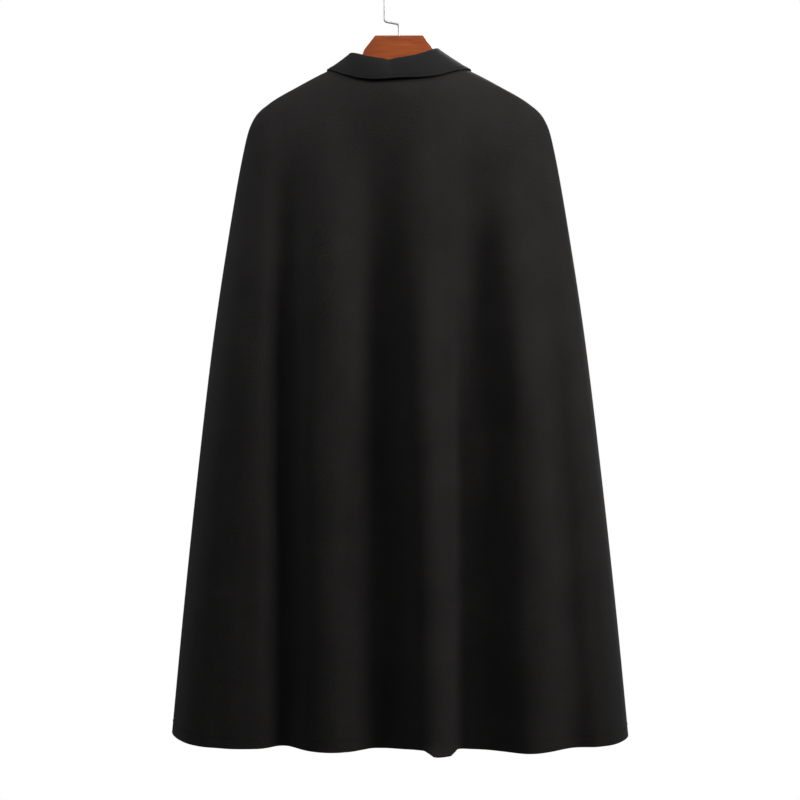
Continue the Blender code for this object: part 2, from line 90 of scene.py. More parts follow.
def set_up(node, **given):
    """Sets a node up: words in small letters are its settings, the others are its sockets.

    A socket's name has underscores for spaces. It takes a value, or another node's output.
    """
    for name, value in given.items():
        if name[0].islower():
            setattr(node, name, value)
            continue
        socket = node.inputs[name.replace("_", " ")]
        if isinstance(value, bpy.types.NodeSocket):
            node.id_data.links.new(value, socket)
        elif socket.type == "RGBA" and len(value) == 3:
            socket.default_value = (*value, 1.0)
        else:
            socket.default_value = value
    return node


def add_node(tree, kind, **given):
    return set_up(tree.nodes.new(kind), **given)


def mixed(tree, share, first, second):
    """A shader that goes from the first to the second as share goes from 0 to 1."""
    made = add_node(tree, "ShaderNodeMixShader", Fac=share)
    tree.links.new(first, made.inputs[1])
    tree.links.new(second, made.inputs[2])
    return made.outputs["Shader"]


def shown_to_camera(tree, seen, unseen):
    """One shader where the camera looks at it, and another where it only lights the scene."""
    path = add_node(tree, "ShaderNodeLightPath")
    return mixed(tree, path.outputs["Is Camera Ray"], unseen, seen)


# %% [markdown]
# ## Light for black cloth
# Black cloth shows its folds only where light grazes them, so most of the light comes from one
# side, through a large soft panel. A second panel overhead lifts the shoulders, a weak third one
# on the far side opens the dark flanks, and a fourth lights the fronts, which face away from the
# camera. A dim, even sky keeps the deepest folds from going out altogether. The sky that the
# camera sees is plain white, and the floor is pale and plain, so nothing competes with the cape.
# Two large cards light the wire hook alone, because bright metal only looks bright when it
# mirrors something.

# %% Lights, sky and floor
WHITE = (1.0, 1.0, 1.0)
SKY_LIGHT = 0.10
FLOOR_WHITE = (0.88, 0.88, 0.88)
FLOOR_BOUNCE = (0.20, 0.20, 0.20)
FLOOR_Z = -1.75
FLOOR_RADIUS = 9.0
FLOOR_FADE = (0.5, 2.0)
Panel = namedtuple("Panel", "name place target width height power")
PANELS = (
    Panel("side_panel", (-1.75, 0.95, 0.75), (0.0, 0.0, -0.40), 1.0, 1.1, 51.0),
    Panel("top_panel", (0.35, 0.60, 0.90), (0.08, 0.0, -0.15), 1.2, 0.8, 12.5),
    Panel("far_panel", (2.0, -0.15, 0.5), (0.25, 0.0, -0.50), 1.0, 1.2, 9.0),
    Panel("front_panel", (-0.9, -2.1, 0.9), (0.0, 0.0, -0.50), 0.8, 0.9, 85.0),
    Panel("back_card", (0.0, 3.2, 0.0), (0.0, 0.0, 0.0), 5.0, 4.0, 20.0),
    Panel("front_card", (0.0, -3.2, 0.0), (0.0, 0.0, 0.0), 5.0, 4.0, 16.0),
)


def add_panel(panel):
    data = bpy.data.lights.new(panel.name, "AREA")
    data.shape = "RECTANGLE"
    data.size, data.size_y = panel.width, panel.height
    data.energy = panel.power
    lamp = add_object(panel.name, data)
    lamp.location = panel.place
    direction = Vector(panel.target) - Vector(panel.place)
    lamp.rotation_euler = direction.to_track_quat("-Z", "Y").to_euler()
    lamp.visible_camera = False


def add_sky():
    """Plain white where the camera sees it, and a dim even light everywhere else."""
    world = bpy.data.worlds.new("sky")
    world.use_nodes = True
    tree = world.node_tree
    lit = set_up(tree.nodes["Background"], Color=WHITE, Strength=SKY_LIGHT)
    seen = add_node(tree, "ShaderNodeBackground", Color=WHITE)
    shown = shown_to_camera(tree, seen.outputs["Background"], lit.outputs["Background"])
    set_up(tree.nodes["World Output"], Surface=shown)
    bpy.context.scene.world = world


def floor_surface():
    """White near the cape and glowing white far off. It throws little light back at the cloth."""
    surface = bpy.data.materials.new("pale_floor")
    surface.use_nodes = True
    tree = surface.node_tree
    tree.nodes.clear()
    place = add_node(tree, "ShaderNodeTexCoord").outputs["Object"]
    distance = add_node(tree, "ShaderNodeVectorMath", operation="LENGTH", Vector=place)
    far = add_node(
        tree,
        "ShaderNodeMapRange",
        interpolation_type="SMOOTHSTEP",
        Value=distance.outputs["Value"],
        From_Min=FLOOR_FADE[0],
        From_Max=FLOOR_FADE[1],
    )
    near = add_node(tree, "ShaderNodeBsdfDiffuse", Color=FLOOR_WHITE)
    glow = add_node(tree, "ShaderNodeEmission")
    dull = add_node(tree, "ShaderNodeBsdfDiffuse", Color=FLOOR_BOUNCE)
    seen = mixed(tree, far.outputs["Result"], near.outputs["BSDF"], glow.outputs["Emission"])
    shown = shown_to_camera(tree, seen, dull.outputs["BSDF"])
    add_node(tree, "ShaderNodeOutputMaterial", Surface=shown)
    return surface


def add_floor():
    bm = bmesh.new()
    bmesh.ops.create_circle(bm, cap_ends=True, segments=64, radius=FLOOR_RADIUS)
    mesh = bpy.data.meshes.new("floor")
    bm.to_mesh(mesh)
    bm.free()
    mesh.materials.append(floor_surface())
    floor = add_object("floor", mesh)
    floor.location = (0.0, 0.0, FLOOR_Z)


for panel in PANELS:
    add_panel(panel)
add_sky()
add_floor()
bpy.context.scene.view_settings.view_transform = "Standard"

# %% [markdown]
# ## Helpers for materials
# Patterns read Object coordinates, which are metres in this scene, or the cloth's own map, so a
# scale of 1000 is a grain of about a millimetre.

# %% Material helpers


def new_material(name):
    """A material, with its node tree, its shader and the place that its patterns read."""
    made = bpy.data.materials.new(name)
    made.use_nodes = True
    tree = made.node_tree
    place = add_node(tree, "ShaderNodeTexCoord").outputs["Object"]
    return made, tree, tree.nodes["Principled BSDF"], place


def noise(tree, place, scale, detail=2.0, roughness=0.5, stretch=None):
    """A noise texture of that many grains a metre, drawn out along one way by stretch."""
    if stretch is not None:
        mapping = add_node(tree, "ShaderNodeMapping", Vector=place, Scale=stretch)
        place = mapping.outputs["Vector"]
    made = add_node(tree, "ShaderNodeTexNoise", Vector=place, Scale=scale)
    return set_up(made, Detail=detail, Roughness=roughness).outputs["Fac"]


def blended(tree, first, second, share):
    """Two values in one, with that share of the second."""
    made = add_node(tree, "ShaderNodeMix", Factor=share, A=first, B=second)
    return made.outputs["Result"]


def ramp(tree, value, stops):
    """Turns a value into a colour through (position, colour) stops."""
    made = add_node(tree, "ShaderNodeValToRGB", Fac=value)
    elements = made.color_ramp.elements
    while len(elements) < len(stops):
        elements.new(0.5)
    for element, (position, colour) in zip(elements, stops):
        element.position = position
        element.color = (*colour, 1.0)
    return made.outputs["Color"]


def spread(tree, value, low, high):
    """Maps a noise value from its usual 0.3 to 0.7 onto low to high."""
    made = add_node(tree, "ShaderNodeMapRange", Value=value, From_Min=0.3, From_Max=0.7)
    return set_up(made, To_Min=low, To_Max=high).outputs["Result"]


def bump(tree, height, strength, distance, **under):
    """The normal of a raised surface, distance metres high, over another Normal if given."""
    made = add_node(tree, "ShaderNodeBump", Height=height, Strength=strength, **under)
    return set_up(made, Distance=distance).outputs["Normal"]


# %% [markdown]
# ## Brushed black cloth
# The cape is cut from a soft fulled cloth whose surface was brushed, so it has no shine and no
# visible weave, only a short nap that lies down the fall of the cloth. A very dark base with a
# high roughness gives the body, a sheen layer gives the pale bloom at grazing angles, and three
# noises break it up: a slow mottle, a fleecy grain of a millimetre or two, and fine fibres that
# follow the cloth's own map from neck to hem.

# %% Cloth material
CLOTH_MAP = "cloth_map"
CAPE_BLACK = (0.0126, 0.0112, 0.0107)
# The collar is cut from the same cloth as the cape. Its darker black is painted shade, so the
# collar reads darker than the body under the same light.
COLLAR_SHADED_BLACK = (0.0092, 0.0085, 0.0084)
DARKER, LIGHTER = 0.66, 1.36
MOTTLE_SCALE, MOTTLE_SHARE = 14.0, 0.45
FLEECE_SCALE, FLEECE_HEIGHT = 640.0, 0.0010
FIBRE_SCALE, FIBRE_HEIGHT = 3200.0, 0.0004
FIBRE_STRETCH = (1.0, 0.16, 1.0)


def brushed_cloth(name, black):
    made, tree, shader, place = new_material(name)
    cloth_map = add_node(tree, "ShaderNodeUVMap", uv_map=CLOTH_MAP).outputs["UV"]
    mottle = noise(tree, place, MOTTLE_SCALE, detail=5.0, roughness=0.62)
    fleece = noise(tree, place, FLEECE_SCALE, detail=4.0, roughness=0.62)
    fibres = noise(tree, cloth_map, FIBRE_SCALE, detail=3.0, stretch=FIBRE_STRETCH)
    tones = blended(tree, fleece, mottle, MOTTLE_SHARE)
    darker, lighter = (tuple(share * part for part in black) for share in (DARKER, LIGHTER))
    nap = bump(tree, fleece, 0.80, FLEECE_HEIGHT)
    set_up(
        shader,
        Base_Color=ramp(tree, tones, ((0.34, darker), (0.66, lighter))),
        Roughness=spread(tree, fleece, 0.86, 0.98),
        Normal=bump(tree, fibres, 0.60, FIBRE_HEIGHT, Normal=nap),
        Specular_IOR_Level=0.22,
        Sheen_Weight=0.05,
        Sheen_Roughness=0.45,
        Sheen_Tint=(0.75, 0.74, 0.76),
    )
    return made


cape_cloth = brushed_cloth("cape_cloth", CAPE_BLACK)
# The collar's copy of the cloth is darker only as painted shade.
collar_cloth = brushed_cloth("collar_cloth", COLLAR_SHADED_BLACK)
print("cloth finishes:", cape_cloth.name, collar_cloth.name)

# %% [markdown]
# ## The cape's form
# At every height the cloth is one ring: a slab with rounded ends whose middle swells out and
# sags over the hanger, and which widens down to the hem. A table of eleven rings and a smooth
# curve through its columns give the whole cape, as a pattern cutter's block would. Long folds
# are ridges and troughs laid over it. This is the form of the CAD solids, so the dressed
# panels lie where they lie.

# %% The rings of the cape
Section = namedtuple(
    "Section", "side_x side_z back_z front_z slab corner back_swell front_swell"
)
SECTIONS = (
    Section(0.0780, -0.1240, -0.1510, -0.2050, 0.0580, 2.0, 0.002, 0.004),
    Section(0.1080, -0.1335, -0.1780, -0.2400, 0.0450, 2.8, 0.023, 0.024),
    Section(0.1500, -0.1550, -0.2220, -0.2860, 0.0390, 3.6, 0.033, 0.031),
    Section(0.1930, -0.1800, -0.2700, -0.3340, 0.0380, 4.0, 0.038, 0.034),
    Section(0.2190, -0.2070, -0.3180, -0.3820, 0.0400, 4.0, 0.039, 0.034),
    Section(0.2340, -0.2600, -0.3780, -0.4400, 0.0450, 4.2, 0.037, 0.032),
    Section(0.2555, -0.3850, -0.4780, -0.5300, 0.0550, 4.8, 0.031, 0.027),
    Section(0.2790, -0.5450, -0.6160, -0.6550, 0.0650, 5.5, 0.024, 0.021),
    Section(0.3030, -0.7500, -0.7890, -0.8130, 0.0750, 6.2, 0.017, 0.014),
    Section(0.3230, -0.9400, -0.9560, -0.9660, 0.0840, 6.6, 0.011, 0.009),
    Section(0.3405, -1.1235, -1.1310, -1.1330, 0.0910, 7.0, 0.006, 0.004),
)
HEM_LEVEL = len(SECTIONS) - 1
SAG_POWER = 2.3
SWELL_POWER = 2.6
TWIST_AT_HEM = math.radians(2.2)
TWIST_BEGINS_Z = -0.25
TWIST_ENDS_Z = -1.13


def smooth_step(value, begins, ends):
    share = np.clip((value - begins) / (ends - begins), 0.0, 1.0)
    return share * share * (3.0 - 2.0 * share)


def through_rows(rows, level):
    """Each column of the rows at a level between them, on one smooth curve through all."""
    table = np.array(rows, float)
    padded = np.vstack([2 * table[0] - table[1], table, 2 * table[-1] - table[-2]])
    level = np.clip(np.asarray(level, float), 0.0, len(rows) - 1.0)
    first = np.minimum(level.astype(int), len(rows) - 2)
    part = (level - first)[..., None]
    before, start, end, after = (padded[first + step] for step in range(4))
    return 0.5 * (
        2 * start
        + (end - before) * part
        + (2 * before - 5 * start + 4 * end - after) * part**2
        + (3 * start - 3 * end + after - before) * part**3
    )


print(len(SECTIONS), "rings, widest", 2000 * SECTIONS[-1].side_x, "mm at the hem")

# %% [markdown]
# ## The long folds
# The cloth hangs from the shoulders in nine broad folds behind and eight in front. Each row of
# the tables is one ridge, or a trough where its height is negative, with its own place, widths
# and depth, because real folds are never alike. Seen from behind, the light comes from the
# right, so a steep left flank is what makes a fold read as dark.

# %% Fold tables
Fold = namedtuple(
    "Fold", "top_x hem_x plus_width minus_width height begins_z full_z"
)
BACK_FOLDS = (
    Fold(0.255, 0.326, 0.030, 0.112, 0.038, -0.16, -0.56),
    Fold(0.168, 0.170, 0.020, 0.028, -0.025, -0.16, -0.52),
    Fold(0.106, 0.104, 0.040, 0.040, 0.021, -0.14, -0.50),
    Fold(0.036, 0.026, 0.032, 0.032, -0.017, -0.13, -0.46),
    Fold(-0.030, -0.047, 0.036, 0.027, 0.029, -0.15, -0.66),
    Fold(-0.110, -0.102, 0.026, 0.032, -0.017, -0.17, -0.50),
    Fold(-0.178, -0.192, 0.038, 0.042, 0.026, -0.16, -0.60),
    Fold(-0.205, -0.255, 0.024, 0.026, -0.008, -0.26, -0.66),
    Fold(-0.240, -0.318, 0.040, 0.030, 0.018, -0.22, -0.66),
)
FRONT_FOLDS = (
    Fold(0.208, 0.272, 0.038, 0.044, 0.012, -0.24, -0.85),
    Fold(0.160, 0.205, 0.034, 0.034, -0.020, -0.21, -0.75),
    Fold(0.105, 0.130, 0.036, 0.034, 0.026, -0.22, -0.80),
    Fold(0.062, 0.066, 0.024, 0.020, -0.009, -0.26, -0.75),
    Fold(-0.066, -0.078, 0.022, 0.026, -0.011, -0.26, -0.75),
    Fold(-0.110, -0.140, 0.032, 0.040, 0.022, -0.22, -0.78),
    Fold(-0.165, -0.206, 0.036, 0.034, -0.022, -0.21, -0.75),
    Fold(-0.214, -0.262, 0.040, 0.040, 0.014, -0.24, -0.85),
)
FOLD_POWER = 2.2
FOLD_TOP_Z = -0.15
FOLD_HEM_Z = -1.13
FOLD_FADE_POWER = 8.0


def fold_depth(folds, x, z):
    """How far the folds push the cloth out at x and z."""
    depth = np.zeros_like(x)
    down = np.clip((z - FOLD_TOP_Z) / (FOLD_HEM_Z - FOLD_TOP_Z), 0.0, 1.0)
    for fold in folds:
        middle = fold.top_x + (fold.hem_x - fold.top_x) * down
        width = np.where(x > middle, fold.plus_width, fold.minus_width)
        bell = np.exp(-(np.abs((x - middle) / width) ** FOLD_POWER))
        depth += fold.height * smooth_step(z, fold.begins_z, fold.full_z) * bell
    return depth


print(len(BACK_FOLDS), "folds behind and", len(FRONT_FOLDS), "in front")

# %% [markdown]
# ## Creases
# Between the broad folds lie small ones: the sharp foot of a trough, a drag line from the end of
# the hanger, a slack place under the collar. A solid needn't show them, but cloth without them
# looks moulded. Each is placed by its two ends, its width and its depth, and fades
# out toward both ends.

# %% Crease tables
Crease = namedtuple("Crease", "top_x top_z bottom_x bottom_z width depth")
BACK_CREASES = (
    Crease(0.157, -0.400, 0.164, -1.150, 0.0120, -0.0019),
    Crease(0.036, -0.330, 0.040, -1.150, 0.0090, -0.0035),
    Crease(-0.084, -0.360, -0.089, -1.150, 0.0080, -0.0045),
    Crease(-0.224, -0.160, -0.236, -0.400, 0.0100, -0.0022),
    Crease(-0.205, -0.185, -0.226, -0.330, 0.0070, 0.0015),
    Crease(0.214, -0.180, 0.236, -0.330, 0.0080, -0.0015),
    Crease(-0.112, -0.500, -0.112, -1.150, 0.0160, 0.0034),
    Crease(0.118, -0.420, 0.138, -0.900, 0.0100, 0.0014),
    Crease(0.062, -0.520, 0.068, -1.150, 0.0080, 0.0016),
    Crease(0.236, -0.560, 0.266, -1.150, 0.0120, -0.0020),
    Crease(0.296, -0.800, 0.312, -1.150, 0.0100, 0.0020),
    Crease(-0.258, -0.560, -0.300, -1.150, 0.0110, -0.0030),
    Crease(-0.030, -0.700, -0.040, -1.150, 0.0070, 0.0012),
)
FRONT_CREASES = (
    Crease(0.222, -0.170, 0.238, -0.420, 0.0100, -0.0024),
    Crease(0.196, -0.190, 0.214, -0.340, 0.0080, 0.0016),
    Crease(-0.226, -0.170, -0.240, -0.390, 0.0090, -0.0020),
    Crease(0.150, -0.350, 0.186, -1.150, 0.0090, -0.0038),
    Crease(0.086, -0.420, 0.098, -1.150, 0.0080, -0.0030),
    Crease(-0.088, -0.380, -0.106, -1.150, 0.0090, -0.0036),
    Crease(-0.150, -0.460, -0.184, -1.150, 0.0080, -0.0032),
    Crease(0.128, -0.520, 0.150, -0.980, 0.0070, 0.0014),
    Crease(-0.126, -0.600, -0.140, -1.040, 0.0080, 0.0015),
    Crease(0.238, -0.620, 0.262, -1.150, 0.0120, -0.0022),
    Crease(-0.240, -0.700, -0.268, -1.150, 0.0110, -0.0020),
    Crease(0.050, -0.260, 0.026, -0.520, 0.0100, -0.0016),
    Crease(-0.054, -0.250, -0.036, -0.460, 0.0090, -0.0014),
)
CREASE_ENDS_SHARE = 0.35
Swell = namedtuple("Swell", "across down height")
SWELLS = (
    Swell(0.131, 0.870, 0.0007),
    Swell(0.083, -0.540, 0.0006),
    Swell(0.047, 0.330, 0.0003),
    Swell(0.210, -0.195, 0.0005),
)


def crease_depth(creases, x, z):
    """How far the creases push the cloth out at x and z."""
    depth = np.zeros_like(x)
    for crease in creases:
        share = (z - crease.top_z) / (crease.bottom_z - crease.top_z)
        middle = crease.top_x + (crease.bottom_x - crease.top_x) * share
        fade = smooth_step(share, 0.0, CREASE_ENDS_SHARE)
        if crease.bottom_z > FOLD_HEM_Z:
            fade = fade * smooth_step(share, 1.0, 1.0 - CREASE_ENDS_SHARE)
        depth += crease.depth * fade * np.exp(-(((x - middle) / crease.width) ** 2))
    return depth


def uneven_depth(x, z):
    """Slow swells of a few tenths of a millimetre, so that no stretch is machine-flat."""
    return sum(
        swell.height * np.sin(2 * math.pi * (x / swell.across + z / swell.down + i / 3))
        for i, swell in enumerate(SWELLS)
    )


print(len(BACK_CREASES) + len(FRONT_CREASES), "creases")

# %% The cape's surface
UNEVEN_LEVELS = (0.5, 2.5)
SIDE_GUARD = 1e-9
CROWDING_POWER = 12


def cape_points(angle, level, creased=True):
    """Points of the cloth's middle surface, for arrays of angles and levels."""
    angle, level = np.broadcast_arrays(np.asarray(angle, float), np.asarray(level, float))
    columns = np.moveaxis(through_rows(SECTIONS, level), -1, 0)
    side_x, side_z, back_z, front_z, slab, corner, back_swell, front_swell = columns
    across, toward_back = np.sin(angle), np.cos(angle)
    at_back = toward_back >= 0
    middle_z = np.where(at_back, back_z, front_z)
    swell = np.where(at_back, back_swell, front_swell)
    share = np.minimum(np.abs(across), 1.0)
    x = across * side_x
    z = side_z + (middle_z - side_z) * (1 - share**SAG_POWER)
    cosine_squared = np.maximum(1 - share**2, SIDE_GUARD)
    rim = np.sqrt(np.maximum(1 - share**corner, 0.5 * corner * SIDE_GUARD) / cosine_squared)
    y = toward_back * (slab * rim + swell * np.abs(toward_back) ** (SWELL_POWER - 1))
    folds = np.where(at_back, fold_depth(BACK_FOLDS, x, z), fold_depth(FRONT_FOLDS, x, z))
    if creased:
        small = np.where(
            at_back, crease_depth(BACK_CREASES, x, z), crease_depth(FRONT_CREASES, x, z)
        )
        folds = folds + small + uneven_depth(x, z) * smooth_step(level, *UNEVEN_LEVELS)
    y = y + np.sign(toward_back) * folds * (1 - share**FOLD_FADE_POWER)
    y = y - x * np.tan(TWIST_AT_HEM) * smooth_step(z, TWIST_BEGINS_Z, TWIST_ENDS_Z)
    return np.stack([x, y, z], axis=-1)


def unit(vectors):
    return vectors / np.linalg.norm(vectors, axis=-1, keepdims=True)


def cape_normals(angle, level):
    """The cloth's outward normals there, and the direction up along the cloth."""
    step_angle, step_level = 1e-3, 1e-2
    around = cape_points(angle + step_angle, level) - cape_points(angle - step_angle, level)
    lower = np.minimum(level + step_level, HEM_LEVEL)
    upper = np.maximum(level - step_level, 0.0)
    down = cape_points(angle, lower) - cape_points(angle, upper)
    return unit(np.cross(around, down)), -unit(down)


def run_along(points, axis=0):
    """Metres along a line, or along one axis of a grid, from its first point."""
    steps = np.linalg.norm(np.diff(points, axis=axis), axis=-1)
    return np.insert(np.cumsum(steps, axis=axis), 0, 0.0, axis=axis)


def even_angles(begin, end, count, crowding):
    """Angles that cut a low ring into nearly equal lengths, shorter toward the seams."""
    fine = np.linspace(begin, end, 1500)
    points = cape_points(fine, HEM_LEVEL - 2.0, creased=False)
    lengths = np.linalg.norm(np.diff(points, axis=0), axis=1)
    lengths *= 1 + crowding * np.abs(np.sin((fine[1:] + fine[:-1]) / 2)) ** CROWDING_POWER
    run = np.insert(np.cumsum(lengths), 0, 0.0)
    return np.interp(np.linspace(0.0, run[-1], count + 1), run, fine)


# %% [markdown]
# ## From a grid of points to a cloth wall
# A panel is a grid of points with a thickness: an outer skin, an inner skin and an edge between
# them. The edge isn't cut square. The skins stop a little short of it and a middle line runs
# round the outside, so that it shades as a soft, pressed edge. The hem is turned up inside, so
# the inner skin steps in over the last two centimetres. The cloth's own map holds metres along
# and down the panel, which the fibres of the nap follow.

# %% Wall builder
CLOTH = 0.0020
COLLAR_CLOTH = 0.0024
SEAM_OVERLAP = 0.0001
LAYER_GAP = 0.0005
EDGE_ROUND = 0.40
HEM_DEPTH = 0.020
HEM_LEDGE = 0.0010
HEM_EXTRA = 0.0014


def grid_normals(points):
    around = np.gradient(points, axis=1)
    down = np.gradient(points, axis=0)
    return unit(np.cross(around, down))


def cloth_wall(name, points, normals, thickness, surface, inner_extra=0.0):
    """A closed wall round a grid of middle points. inner_extra thickens it inward."""
    rows, columns = points.shape[:2]
    pull = EDGE_ROUND * thickness
    inset = points.copy()
    inset[0] += unit(points[1] - points[0]) * pull
    inset[-1] += unit(points[-2] - points[-1]) * pull
    inset[:, 0] += unit(points[:, 1] - points[:, 0]) * pull
    inset[:, -1] += unit(points[:, -2] - points[:, -1]) * pull
    half = thickness / 2
    outer = (inset + normals * half).reshape(-1, 3)
    inner_half = np.broadcast_to(half + inner_extra, points.shape[:2])[..., None]
    inner = (inset - normals * inner_half).reshape(-1, 3)
    index = np.arange(rows * columns).reshape(rows, columns)
    border = np.concatenate(
        [index[0, :-1], index[:-1, -1], index[-1, :0:-1], index[:0:-1, 0]]
    )
    middle = points - normals * (inner_half - half) / 2
    rim = middle.reshape(-1, 3)[border]
    a, b = index[:-1, :-1].ravel(), index[:-1, 1:].ravel()
    c, d = index[1:, 1:].ravel(), index[1:, :-1].ravel()
    skin = np.stack([a, b, c, d], 1)
    count = rows * columns
    on_rim = 2 * count + np.arange(len(border))
    after, rim_after = np.roll(border, -1), np.roll(on_rim, -1)
    faces = np.vstack(
        [
            skin,
            skin[:, ::-1] + count,
            np.stack([after, border, on_rim, rim_after], 1),
            np.stack([rim_after, on_rim, border + count, after + count], 1),
        ]
    )
    mesh = bpy.data.meshes.new(name)
    mesh.from_pydata(np.vstack([outer, inner, rim]).tolist(), [], faces.tolist())
    add_cloth_map(mesh, points, border)
    mesh.shade_smooth()
    mesh.materials.append(surface)
    return add_object(name, mesh)


def add_cloth_map(mesh, points, border):
    """A UV map in metres: along each row from its middle, and down each column."""
    along = run_along(points, axis=1)
    along -= along[:, points.shape[1] // 2][:, None]
    flat = np.stack([along, -run_along(points)], axis=-1).reshape(-1, 2)
    per_vertex = np.vstack([flat, flat, flat[border]])
    corners = np.zeros(len(mesh.loops), np.int32)
    mesh.loops.foreach_get("vertex_index", corners)
    layer = mesh.uv_layers.new(name=CLOTH_MAP)
    layer.data.foreach_set("uv", per_vertex[corners].astype(np.float32).ravel())


def triangles_of(piece):
    piece.data.calc_loop_triangles()
    return len(piece.data.loop_triangles)


# %% [markdown]
# ## The back
# The back is one panel from the neck to the hem. It is a fine grid over the cape's form, with
# rows a few millimetres apart. Its two long edges end in the shoulder and side seams, where the
# cloth dips into a soft groove, because the stitches pull it in.

# %% Back panel
BODY_ROWS = 226
BACK_COLUMNS = 176
FRONT_COLUMNS = 84
SEAM_CROWDING = 2.2
NECK_CROWDING = 0.28
SEAM_GROOVE_DEPTH = 0.0011
SEAM_GROOVE_WIDTH = 0.0035
RISE_X = -0.034
RISE_WIDTH = 0.032
RISE_TOP_Z = -1.02
RISE_HEIGHT = 0.0060
TIP_RIGHT = (-0.0835, -0.0760)
TIP_LEFT = (-0.0350, -0.0515)
TIP_TOP_Z = -1.118
TIP_DROPS = 0.0050
TIP_TURNS_OUT = 0.0110


METRES_PER_LEVEL = SECTIONS[-2].side_z - SECTIONS[-1].side_z
LEDGE_LEVEL = HEM_LEVEL - HEM_DEPTH / METRES_PER_LEVEL
LEDGE_STEP = HEM_LEDGE / METRES_PER_LEVEL


def body_levels(rows):
    """Levels of the rows, close at the neck, with three more for the turned hem."""
    share = np.linspace(0.0, 1.0, rows + 1)
    levels = HEM_LEVEL * ((1 - NECK_CROWDING) * share + NECK_CROWDING * share**2)
    added = (LEDGE_LEVEL - LEDGE_STEP, LEDGE_LEVEL, HEM_LEVEL - LEDGE_STEP)
    return np.sort(np.append(levels, added))


def hem_extra(levels):
    """How much thicker the wall is inside, where the hem is turned up."""
    return HEM_EXTRA * smooth_step(levels, LEDGE_LEVEL - LEDGE_STEP, LEDGE_LEVEL)


def seam_groove(points, normals, edges):
    """Draws the cloth in along the named edges of a panel's grid."""
    along = run_along(points, axis=1)
    inward = {"first": along, "last": along[:, -1:] - along}
    depth = sum(np.exp(-((inward[edge] / SEAM_GROOVE_WIDTH) ** 2)) for edge in edges)
    return points - normals * (SEAM_GROOVE_DEPTH * depth)[..., None]


def turned_tip(points):
    """Over one ridge the hem is drawn up a little, and its edge turns out in a narrow tip."""
    x, z = points[..., 0], points[..., 2]
    ridge = np.exp(-(((x - RISE_X) / RISE_WIDTH) ** 2))
    low = smooth_step(z, RISE_TOP_Z, FOLD_HEM_Z)
    across = smooth_step(x, *TIP_RIGHT) * smooth_step(x, *TIP_LEFT)
    down = np.clip((TIP_TOP_Z - z) / (TIP_TOP_Z - z.min()), 0.0, 1.0)
    moved = points.copy()
    moved[..., 2] += RISE_HEIGHT * ridge * low - TIP_DROPS * across * down**2
    moved[..., 1] += TIP_TURNS_OUT * across * down**2
    return moved


levels = body_levels(BODY_ROWS)[:, None]
angles = even_angles(-math.pi / 2, math.pi / 2, BACK_COLUMNS, SEAM_CROWDING)[None, :]
back_points = cape_points(angles, levels)
back_normals = cape_normals(*np.broadcast_arrays(angles, levels))[0]
back_points[..., 1] -= SEAM_OVERLAP
back_points = seam_groove(back_points, back_normals, ("first", "last"))
back_points = turned_tip(back_points)
back_normals = grid_normals(back_points)
back_cloth = cloth_wall(
    "back_cloth", back_points, back_normals, CLOTH, cape_cloth, hem_extra(levels)
)
print("back_cloth:", triangles_of(back_cloth), "triangles")

# %% [markdown]
# ## The fronts
# The two fronts run from the side seams past the centre and lap over each other. The wearer's
# left lies on top. Toward the centre line the two part by a little more than their thickness,
# each moved half of it along the normal, so that they never cut through each other. The turned
# hem of the upper one is pressed thinner for the same reason.

# %% Front panels
FRONT_OVERLAP = 0.035
OVERLAP_COLUMNS = 11
LAYERS_MEET_X = 0.085
LAYERS_PART_X = 0.040
LAPPED_HEM_SHARE = 0.25
TOP_SKIN_HEIGHT = (CLOTH + LAYER_GAP) / 2 + CLOTH / 2


def front_angles(levels, side, columns, overlap_columns):
    """The angles of a front's columns at each level, from its seam past the centre."""
    widths = through_rows(SECTIONS, levels)[:, :1]
    overlap_x = np.linspace(FRONT_OVERLAP, -FRONT_OVERLAP, 2 * overlap_columns + 1)
    overlap = math.pi - np.arcsin(overlap_x[None, :] / widths)
    even = even_angles(math.pi / 2, overlap[-1, 0], columns, SEAM_CROWDING)
    share = (even - even[0]) / (even[-1] - even[0])
    panel = math.pi / 2 + (overlap[:, :1] - math.pi / 2) * share[None, :]
    if side > 0:
        return np.hstack([panel, overlap[:, 1:]])
    mirrored = 2 * math.pi - panel[:, ::-1]
    return np.hstack([overlap[:, :-1], mirrored])


def front_surface(side):
    """Points and normals of a front's middle surface: side is +1 for the wearer's left."""
    levels = body_levels(BODY_ROWS)
    angles = front_angles(levels, side, FRONT_COLUMNS, OVERLAP_COLUMNS)
    levels = np.broadcast_to(levels[:, None], angles.shape)
    points = cape_points(angles, levels)
    normals = cape_normals(angles, levels)[0]
    parted = smooth_step(points[..., 0] * side, LAYERS_MEET_X, LAYERS_PART_X)
    away = (CLOTH + LAYER_GAP) / 2 * parted
    points = points + normals * (side * away)[..., None]
    points[..., 1] += SEAM_OVERLAP
    points = seam_groove(points, normals, ("first",) if side > 0 else ("last",))
    return points, grid_normals(points), levels


fronts = {}
for name, side in (("front_left", 1), ("front_right", -1)):
    points, normals, grid_levels = front_surface(side)
    extra = hem_extra(grid_levels) * (1.0 if side < 0 else LAPPED_HEM_SHARE)
    fronts[name] = (
        cloth_wall(f"{name}_cloth", points, normals, CLOTH, cape_cloth, extra),
        points,
        normals,
    )
    print(name, "cloth:", triangles_of(fronts[name][0]), "triangles")

# %% [markdown]
# ## The collar
# A turn-down collar is one piece that rises from the neck seam as a stand, folds over a small
# round and falls back onto the cape. Its profile is drawn at five stations round the neck and
# blended between them. At the back the fall is short and stands off the cloth, so it throws a
# thin shadow, and at the front it widens into two points.

